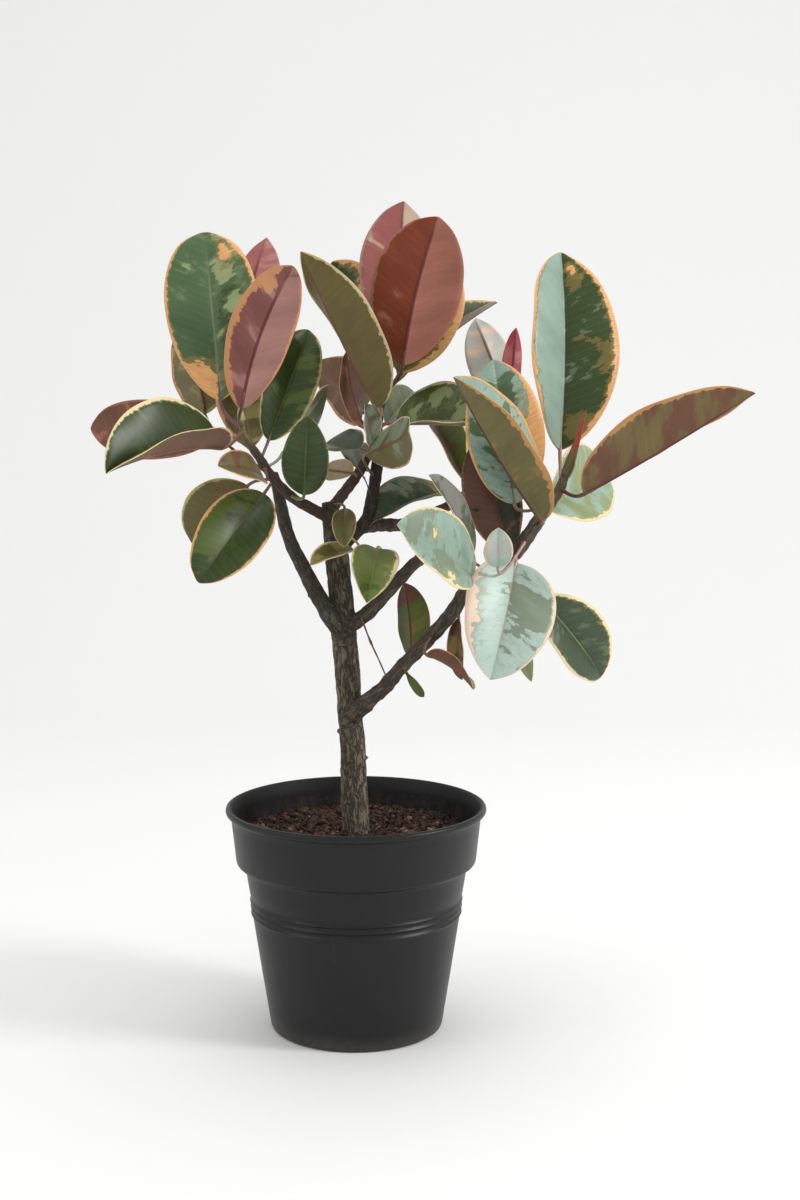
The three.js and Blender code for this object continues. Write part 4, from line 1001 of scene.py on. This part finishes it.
def make_leaf(name, template, cells, materials, settings):
    """One leaf on its stalk, bent and folded into place, with the fields that its colours follow."""
    row = LEAVES[name]
    stem, where, start, tip, width, _, fold, *_ = row
    (core, pale, rim, back, second, stalk,
     pale_and_sheen_minus, pale_and_sheen_plus, rim_minus, rim_plus, foot, point) = COLOURS[name]
    rng = random.Random(name)
    co, part, corners = cells
    mesh = template.copy()
    mesh.name = "leaf_" + name
    blade = part != 0
    u = np.sign(co[:, 0]) * np.abs(co[:, 0]) ** 1.5
    s = (1 - np.cos(np.pi * (co[:, 1] + 1) / 2)) / 2
    s = np.where(blade, s, 0.0)
    mid, _, top, out, half, along, up = blade_frame(row, s, BLUNT.get(name, 1.0))
    lean, sign, far = math.radians(fold), np.sign(u), np.abs(u)
    size = width / 80
    reach = half * far
    phase, phase_two = rng.uniform(0, ABOUT_A_TURN), rng.uniform(0, ABOUT_A_TURN)
    wave = (settings.wave * size * far ** 3 * np.sin(s * 15 + phase + sign * 1.3)
            * np.minimum(1, half / (0.25 * width * MM)))
    wave += settings.wave * 0.6 * size * far ** 2 * np.sin(s * 7 + phase_two)
    cup = settings.cup * half * 4 * far * (1 - far)
    dip = 0.0005 * size * np.exp(-(reach / 0.0012) ** 2) * (1 - 0.8 * s)
    ridge = 0.0014 * size * np.exp(-(reach / (0.0014 * size + 0.0003)) ** 2) * (1 - 0.85 * s)
    skin = settings.thickness / 2 * (1 - 0.55 * far ** 8)
    lift = np.where(part > 0, skin - dip, -skin - ridge)
    point_out = (reach * math.cos(lean) * sign)[:, None] * out + (reach * math.sin(lean))[:, None] * top
    normal = unit(math.cos(lean) * top - (sign * math.sin(lean))[:, None] * out)
    shape = mid + point_out + (wave + cup)[:, None] * normal + lift[:, None] * normal

    # The stalk bends from the stem to the blade and runs out under its midrib.
    begin, root = Vector(place(start)), smooth_line(stem_rows(stem), where)
    line, up_v = Vector(along), Vector(up)
    ease = begin - line * 0.4 * (begin - root).length
    ring = np.round((co[:, 2] - 8) / 2 * (RINGS - 1)).astype(int)
    thick = settings.stalk_radius * (0.62 + 0.38 * min(size, 1.1))
    for k in range(RINGS):
        if k <= BLADE_RING:
            t = k / BLADE_RING
            at = root * (1 - t) ** 2 + ease * 2 * t * (1 - t) + begin * t ** 2
            heading = (ease - root) * (1 - t) + (begin - ease) * t
            radius = thick * (1 + 0.35 * math.exp(-(t / 0.12) ** 2) - 0.12 * math.sin(math.pi * t))
        else:
            t = (k - BLADE_RING) / (RINGS - 1 - BLADE_RING)
            m, a, tp, *_ = blade_frame(row, np.array([0.11 * t]))
            at = Vector(m[0]) - Vector(tp[0]) * (settings.thickness * 0.5 + 0.0003)
            heading = Vector(a[0])
            radius = thick * (1 - 0.55 * t)
        heading.normalize()
        side = heading.cross(up_v).normalized()
        rise = side.cross(heading)
        chosen = (~blade) & (ring == k)
        across = co[chosen, 0:1] * np.array(side) + co[chosen, 1:2] * np.array(rise)
        shape[chosen] = np.array(at) + radius * across
    mesh.vertices.foreach_set("co", shape.astype(np.float32).ravel())

    # Fields for the colours: how pale (partly painted sheen where a half is patched almost whole), how near the
    # margin, and where on the leaf.
    pale_and_sheen_field = np.where(u < 0, pale_and_sheen_minus, pale_and_sheen_plus)
    join = np.clip((far * half) / 0.0012, 0, 1)
    pale_and_sheen_field = pale_and_sheen_field * join + (1 - join) * (pale_and_sheen_minus + pale_and_sheen_plus) / 2
    fields = {"mid": np.zeros(len(u)), "dark": np.zeros(len(u))}
    wider = 1 + foot * np.exp(-(s / 0.16) ** 2) + point * np.exp(-((1 - s) / 0.12) ** 2)
    width_field = 0.8 * np.where(u < 0, rim_minus, rim_plus) * wider
    rim_field = np.clip(1 - (1 - far) / (2 * width_field + 1e-4), 0, 1)
    for kind, a, b, wide, long, strength in PATCHES.get(name, []):
        blob = strength * np.exp(-((u - a) / wide) ** 2 - ((s - b) / long) ** 2)
        if kind == "rim":
            rim_field = np.clip(rim_field + blob, 0, 1)
        elif kind == "pale":
            pale_and_sheen_field = np.clip(pale_and_sheen_field + blob, 0, 1)
        else:
            fields[kind] = np.maximum(fields[kind], blob)
    run = np.where(blade, s, np.clip(ring / BLADE_RING, 0, 1))
    attribute(mesh, "pale", "FLOAT", np.where(blade, pale_and_sheen_field, 0))
    attribute(mesh, "rim", "FLOAT", np.where(blade, rim_field, 0))
    attribute(mesh, "middling", "FLOAT", np.where(blade, fields["mid"], 0))
    attribute(mesh, "darker", "FLOAT", np.where(blade, fields["dark"], 0))
    attribute(mesh, "across", "FLOAT", np.where(blade, u, 0))
    attribute(mesh, "run", "FLOAT", run)
    for key, colour in (("core_colour", core), ("pale_colour", pale), ("rim_colour", rim),
                        ("back_colour", back), ("second_colour", second), ("stalk_colour", stalk)):
        colour_attribute(mesh, key, getattr(settings, colour))
    length = (begin - Vector(place(tip))).length
    spots = np.stack([u * half * 10, s * length * 10], axis=1)
    seed = rng.randrange(40)
    spots[:, 1] += seed * 3.0
    spots[~blade] = (0.0, seed * 3.0)
    uv = mesh.uv_layers.new(name="blade")
    uv.data.foreach_set("uv", spots[corners].astype(np.float32).ravel())
    mesh.attributes.remove(mesh.attributes["part"])
    stands_for = () if name in HERE_ONLY else ("leaf_" + name,)
    piece("rubber_leaf_" + name, mesh, materials, "leaf", *stands_for)


def make_leaves(settings):
    """Every leaf, shaped from copies of one template."""
    template = leaf_template()
    co = positions(template)
    part = np.empty(len(co), dtype=np.float32)
    template.attributes["part"].data.foreach_get("value", part)
    part = np.round(part).astype(int)
    corners = np.empty(len(template.loops), dtype=np.int32)
    template.loops.foreach_get("vertex_index", corners)
    materials = [leaf_upper(settings), leaf_under(settings), stalk_shader(settings)]
    for name in LEAVES:
        make_leaf(name, template, (co, part, corners), materials, settings)
    bpy.data.meshes.remove(template)


def make_buds(settings):
    """Rolled sheaths, drawn to a point, with the edge of the roll winding round them."""
    material = bud_shader()
    for name, (stem, tip, radius, foot, end) in BUDS.items():
        bm = bmesh.new()
        bmesh.ops.create_cone(bm, cap_ends=True, segments=28, radius1=1, radius2=1, depth=2)
        upright = [e for e in bm.edges if abs(e.verts[0].co.z - e.verts[1].co.z) > 1]
        bmesh.ops.subdivide_edges(bm, edges=upright, cuts=36, use_grid_fill=True)
        field = bm.verts.layers.float.new("run")
        rows = stem_rows(stem)
        root, point = rows[-1], place(tip)
        lean = (rows[-1] - rows[-2]).normalized() * (point - root).length * 0.35
        for vert in bm.verts:
            t = (vert.co.z + 1) / 2
            turn = math.atan2(vert.co.y, vert.co.x)
            at = root * (1 - t) ** 2 + (root + lean) * 2 * t * (1 - t) + point * t ** 2
            heading = (lean * (1 - t) + (point - root - lean) * t).normalized()
            side = heading.orthogonal().normalized()
            rise = heading.cross(side)
            shape = (1 - t ** 1.5) ** 0.85 * (1 + 0.22 * math.sin(math.pi * min(t * 1.8, 1))) + 0.05
            roll = (turn + t * 4.2) % (2 * math.pi) / (2 * math.pi)
            size = radius * MM * shape * (0.93 + 0.12 * roll)
            vert[field] = t
            vert.co = at - heading * 0.0015 * (1 - t) + (side * math.cos(turn) + rise * math.sin(turn)) * size
        mesh = to_mesh(bm, "sheath_" + name)
        colour_attribute(mesh, "foot_colour", shade(foot))
        colour_attribute(mesh, "tip_colour", shade(end))
        piece("rolled_" + name, mesh, [material], "bud", name)


def make_twigs(settings):
    """Two dead stalks that hang among the limbs."""
    paint = Paint("dry twig")
    at = paint.place()
    fine = paint.noise(paint.stretch(at, (1, 1, 0.3)), 800, 4, 0.6)
    colour = paint.mix(fine, shade("#3b2a20"), shade("#7d6650"))
    dry = paint.finish(Base_Color=colour, Roughness=0.7 + fine * 0.2, Normal=paint.bump(fine, 0.0003, 0.7))
    for name, (rows, radius) in TWIGS.items():
        points = [place(row) for row in rows]
        line = []
        for i in range(TWIG_STEPS + 1):
            t = i / TWIG_STEPS
            swell = (1 + 0.35 * noise.noise(Vector((t * 9, radius, 3)))
                     + 0.5 * math.exp(-((t - 0.5) / 0.03) ** 2))
            line.append((smooth_line(points, t), radius * MM * swell * (1 - 0.3 * t)))
        made = piece(name, tubes(name, [line], 3), [dry], "bark")
        for face in made.data.polygons:
            face.use_smooth = True


def make_stage(settings):
    """A pale seamless floor that curves up behind, soft lights and the camera."""
    bm = bmesh.new()
    near, corner, high = (bm.verts.new(p) for p in ((-7, -6, 0), (-7, 3.2, 0), (-7, 3.2, 6)))
    edges = [bm.edges.new(pair) for pair in ((near, corner), (corner, high))]
    swept = bmesh.ops.extrude_edge_only(bm, edges=edges)["geom"]
    bmesh.ops.translate(bm, verts=[v for v in swept if isinstance(v, bmesh.types.BMVert)], vec=(14, 0, 0))
    crease = [e for e in bm.edges if all(abs(v.co.y - 3.2) < 1e-4 and abs(v.co.z) < 1e-4 for v in e.verts)]
    bmesh.ops.bevel(bm, geom=crease, offset=1.8, offset_type="OFFSET", affect="EDGES", segments=32,
                    profile=0.5, material=-1)
    bmesh.ops.recalc_face_normals(bm, faces=bm.faces)
    floor = bpy.data.objects.new("floor", to_mesh(bm, "floor"))
    bpy.context.scene.collection.objects.link(floor)
    paint = Paint("pale floor")
    matt = paint.finish(Base_Color=settings.floor, Roughness=0.75, Specular_IOR_Level=0.2)
    floor.data.materials.append(matt)

    world = bpy.data.worlds.new("studio")
    world.use_nodes = True
    world.node_tree.nodes["Background"].inputs[0].default_value = (1.0, 1.0, 1.0, 1)
    world.node_tree.nodes["Background"].inputs[1].default_value = settings.fill
    bpy.context.scene.world = world
    for name, (at, aim, size, share) in LAMPS.items():
        lamp = bpy.data.lights.new(name, "AREA")
        lamp.shape, lamp.size, lamp.energy = "DISK", size, settings.key * share
        made = bpy.data.objects.new(name, lamp)
        made.location = at
        made.rotation_euler = (Vector(aim) - Vector(at)).to_track_quat("-Z", "Y").to_euler()
        bpy.context.scene.collection.objects.link(made)

    view = bpy.data.cameras.new("camera")
    view.lens, view.sensor_width, view.sensor_fit = CAMERA_LENS, CAMERA_SENSOR, "AUTO"
    camera = bpy.data.objects.new("camera", view)
    camera.location = CAMERA_PLACE
    camera.rotation_euler = (math.radians(90 - CAMERA_TILT), 0, 0)
    bpy.context.scene.collection.objects.link(camera)
    bpy.context.scene.camera = camera
    bpy.context.scene.view_settings.view_transform = "Standard"


# ---- the add-on ----------------------------------------------------------------------------------
def colour_prop(name, code, description):
    return bpy.props.FloatVectorProperty(name=name, description=description, subtype="COLOR", size=3,
                                         min=0, max=1, default=shade(code))


def length_prop(name, default, description):
    return bpy.props.FloatProperty(name=name, description=description, default=default, min=0, precision=4,
                                   subtype="DISTANCE", unit="LENGTH")


def amount_prop(name, default, description, most=1.0):
    return bpy.props.FloatProperty(name=name, description=description, default=default, min=0, max=most,
                                   subtype="FACTOR" if most == 1.0 else "NONE")


class PLANT_PG_pot(bpy.types.PropertyGroup):
    height: length_prop("Height", POT[1].z, "Foot to the top of the rim")
    rim_radius: length_prop("Rim radius", POT[1].x, "Outside of the rolled rim")
    foot_radius: length_prop("Foot radius", 0.080, "Outside of the foot")
    wall: length_prop("Wall", 0.0024, "Thickness of the wall")
    drain_holes: bpy.props.IntProperty(name="Drain holes", description="Holes in the floor", default=6, min=0)
    colour: colour_prop("Plastic", "#111112", "Colour of the plastic")
    roughness: amount_prop("Roughness", 0.42, "How dull the plastic is")


class PLANT_PG_soil(bpy.types.PropertyGroup):
    chips: bpy.props.IntProperty(name="Chips", description="Large pieces of bark", default=1100, min=0)
    crumbs: bpy.props.IntProperty(name="Crumbs", description="Small pieces of bark", default=3600, min=0)
    colour: colour_prop("Dust", "#3a261b", "Colour of the fine soil between the chips")


class PLANT_PG_stems(bpy.types.PropertyGroup):
    voxel: length_prop("Detail", 0.0010, "Size of the smallest detail in the skin of the stems")
    roughness: amount_prop("Roughness", 1.0, "How rough the bark is", 3.0)
    lichen: colour_prop("Lichen", "#8b8577", "Grey bloom on the old bark")
    fleck: colour_prop("Flecks", "#948a78", "Pale scales of bark")
    crack: colour_prop("Cracks", "#17120e", "Splits in the bark")


class PLANT_PG_leaves(bpy.types.PropertyGroup):
    thickness: length_prop("Thickness", 0.0007, "Thickness of a blade")
    stalk_radius: length_prop("Stalk radius", 0.0018, "Radius of a leaf's stalk")
    wave: length_prop("Wave", 0.0011, "How far the edge of a blade waves")
    cup: amount_prop("Bulge", 0.05, "How much each half of a blade bulges")
    gloss: amount_prop("Gloss", 0.14, "Wax shine of the upper side")
    upper_roughness: amount_prop("Upper roughness", 0.40, "How dull the upper side is")
    under_roughness: amount_prop("Underside roughness", 0.52, "How dull the underside is")


for _name, (_code, _text) in PALETTE.items():
    PLANT_PG_leaves.__annotations__[_name] = colour_prop(_name.title(), _code, _text)


class PLANT_PG_stage(bpy.types.PropertyGroup):
    floor: colour_prop("Floor", "#eeeeed", "Colour of the floor and backdrop")
    fill: amount_prop("Fill", 0.80, "Strength of the light from all round", 5.0)
    key: bpy.props.FloatProperty(name="Key", description="Power of the main light", default=50.0, min=0,
                                 subtype="POWER", unit="POWER")


class PLANT_OT_stage(bpy.types.Operator):
    """Makes the floor, the lights and the camera"""
    bl_idname = "plant.stage"
    bl_label = "Stage"

    def execute(self, context):
        make_stage(context.scene.plant_stage)
        return {"FINISHED"}


class PLANT_OT_pot(bpy.types.Operator):
    """Makes the nursery pot"""
    bl_idname = "plant.pot"
    bl_label = "Pot"

    def execute(self, context):
        make_pot(context.scene.plant_pot)
        return {"FINISHED"}


class PLANT_OT_soil(bpy.types.Operator):
    """Makes the composted bark in the pot"""
    bl_idname = "plant.soil"
    bl_label = "Soil"

    def execute(self, context):
        make_soil(context.scene.plant_soil)
        return {"FINISHED"}


class PLANT_OT_stems(bpy.types.Operator):
    """Makes the trunk and its limbs"""
    bl_idname = "plant.stems"
    bl_label = "Stems"

    def execute(self, context):
        make_stems(context.scene.plant_stems)
        return {"FINISHED"}


class PLANT_OT_twigs(bpy.types.Operator):
    """Makes the dead stalks among the limbs"""
    bl_idname = "plant.twigs"
    bl_label = "Dry twigs"

    def execute(self, context):
        make_twigs(context.scene.plant_stems)
        return {"FINISHED"}


class PLANT_OT_leaves(bpy.types.Operator):
    """Makes every leaf on its stalk"""
    bl_idname = "plant.leaves"
    bl_label = "Leaves"

    def execute(self, context):
        make_leaves(context.scene.plant_leaves)
        return {"FINISHED"}


class PLANT_OT_buds(bpy.types.Operator):
    """Makes the rolled end buds"""
    bl_idname = "plant.buds"
    bl_label = "Buds"

    def execute(self, context):
        make_buds(context.scene.plant_leaves)
        return {"FINISHED"}


class PLANT_PT_panel(bpy.types.Panel):
    """Lists the settings and the operators"""
    bl_idname = "PLANT_PT_panel"
    bl_label = "Rubber plant"
    bl_space_type = "VIEW_3D"
    bl_region_type = "UI"
    bl_category = "Rubber plant"

    def draw(self, context):
        for group, operators in PARTS:
            box = self.layout.box()
            for key in getattr(context.scene, group).bl_rna.properties.keys():
                if key not in {"rna_type", "name"}:
                    box.prop(getattr(context.scene, group), key)
            for operator in operators:
                box.operator(operator.bl_idname)


PARTS = [
    ("plant_stage", [PLANT_OT_stage]),
    ("plant_pot", [PLANT_OT_pot]),
    ("plant_soil", [PLANT_OT_soil]),
    ("plant_stems", [PLANT_OT_stems, PLANT_OT_twigs]),
    ("plant_leaves", [PLANT_OT_leaves, PLANT_OT_buds]),
]
GROUPS = [PLANT_PG_stage, PLANT_PG_pot, PLANT_PG_soil, PLANT_PG_stems, PLANT_PG_leaves]
CLASSES = GROUPS + [operator for _, operators in PARTS for operator in operators] + [PLANT_PT_panel]


def register():
    for item in CLASSES:
        bpy.utils.register_class(item)
    for (name, _), group in zip(PARTS, GROUPS):
        setattr(bpy.types.Scene, name, bpy.props.PointerProperty(type=group))


def unregister():
    for name, _ in PARTS:
        delattr(bpy.types.Scene, name)
    for item in reversed(CLASSES):
        bpy.utils.unregister_class(item)


def main():
    register()
    for make in (bpy.ops.plant.stage, bpy.ops.plant.pot, bpy.ops.plant.soil, bpy.ops.plant.stems,
                 bpy.ops.plant.twigs, bpy.ops.plant.leaves, bpy.ops.plant.buds):
        make()


if __name__ == "__main__":
    main()
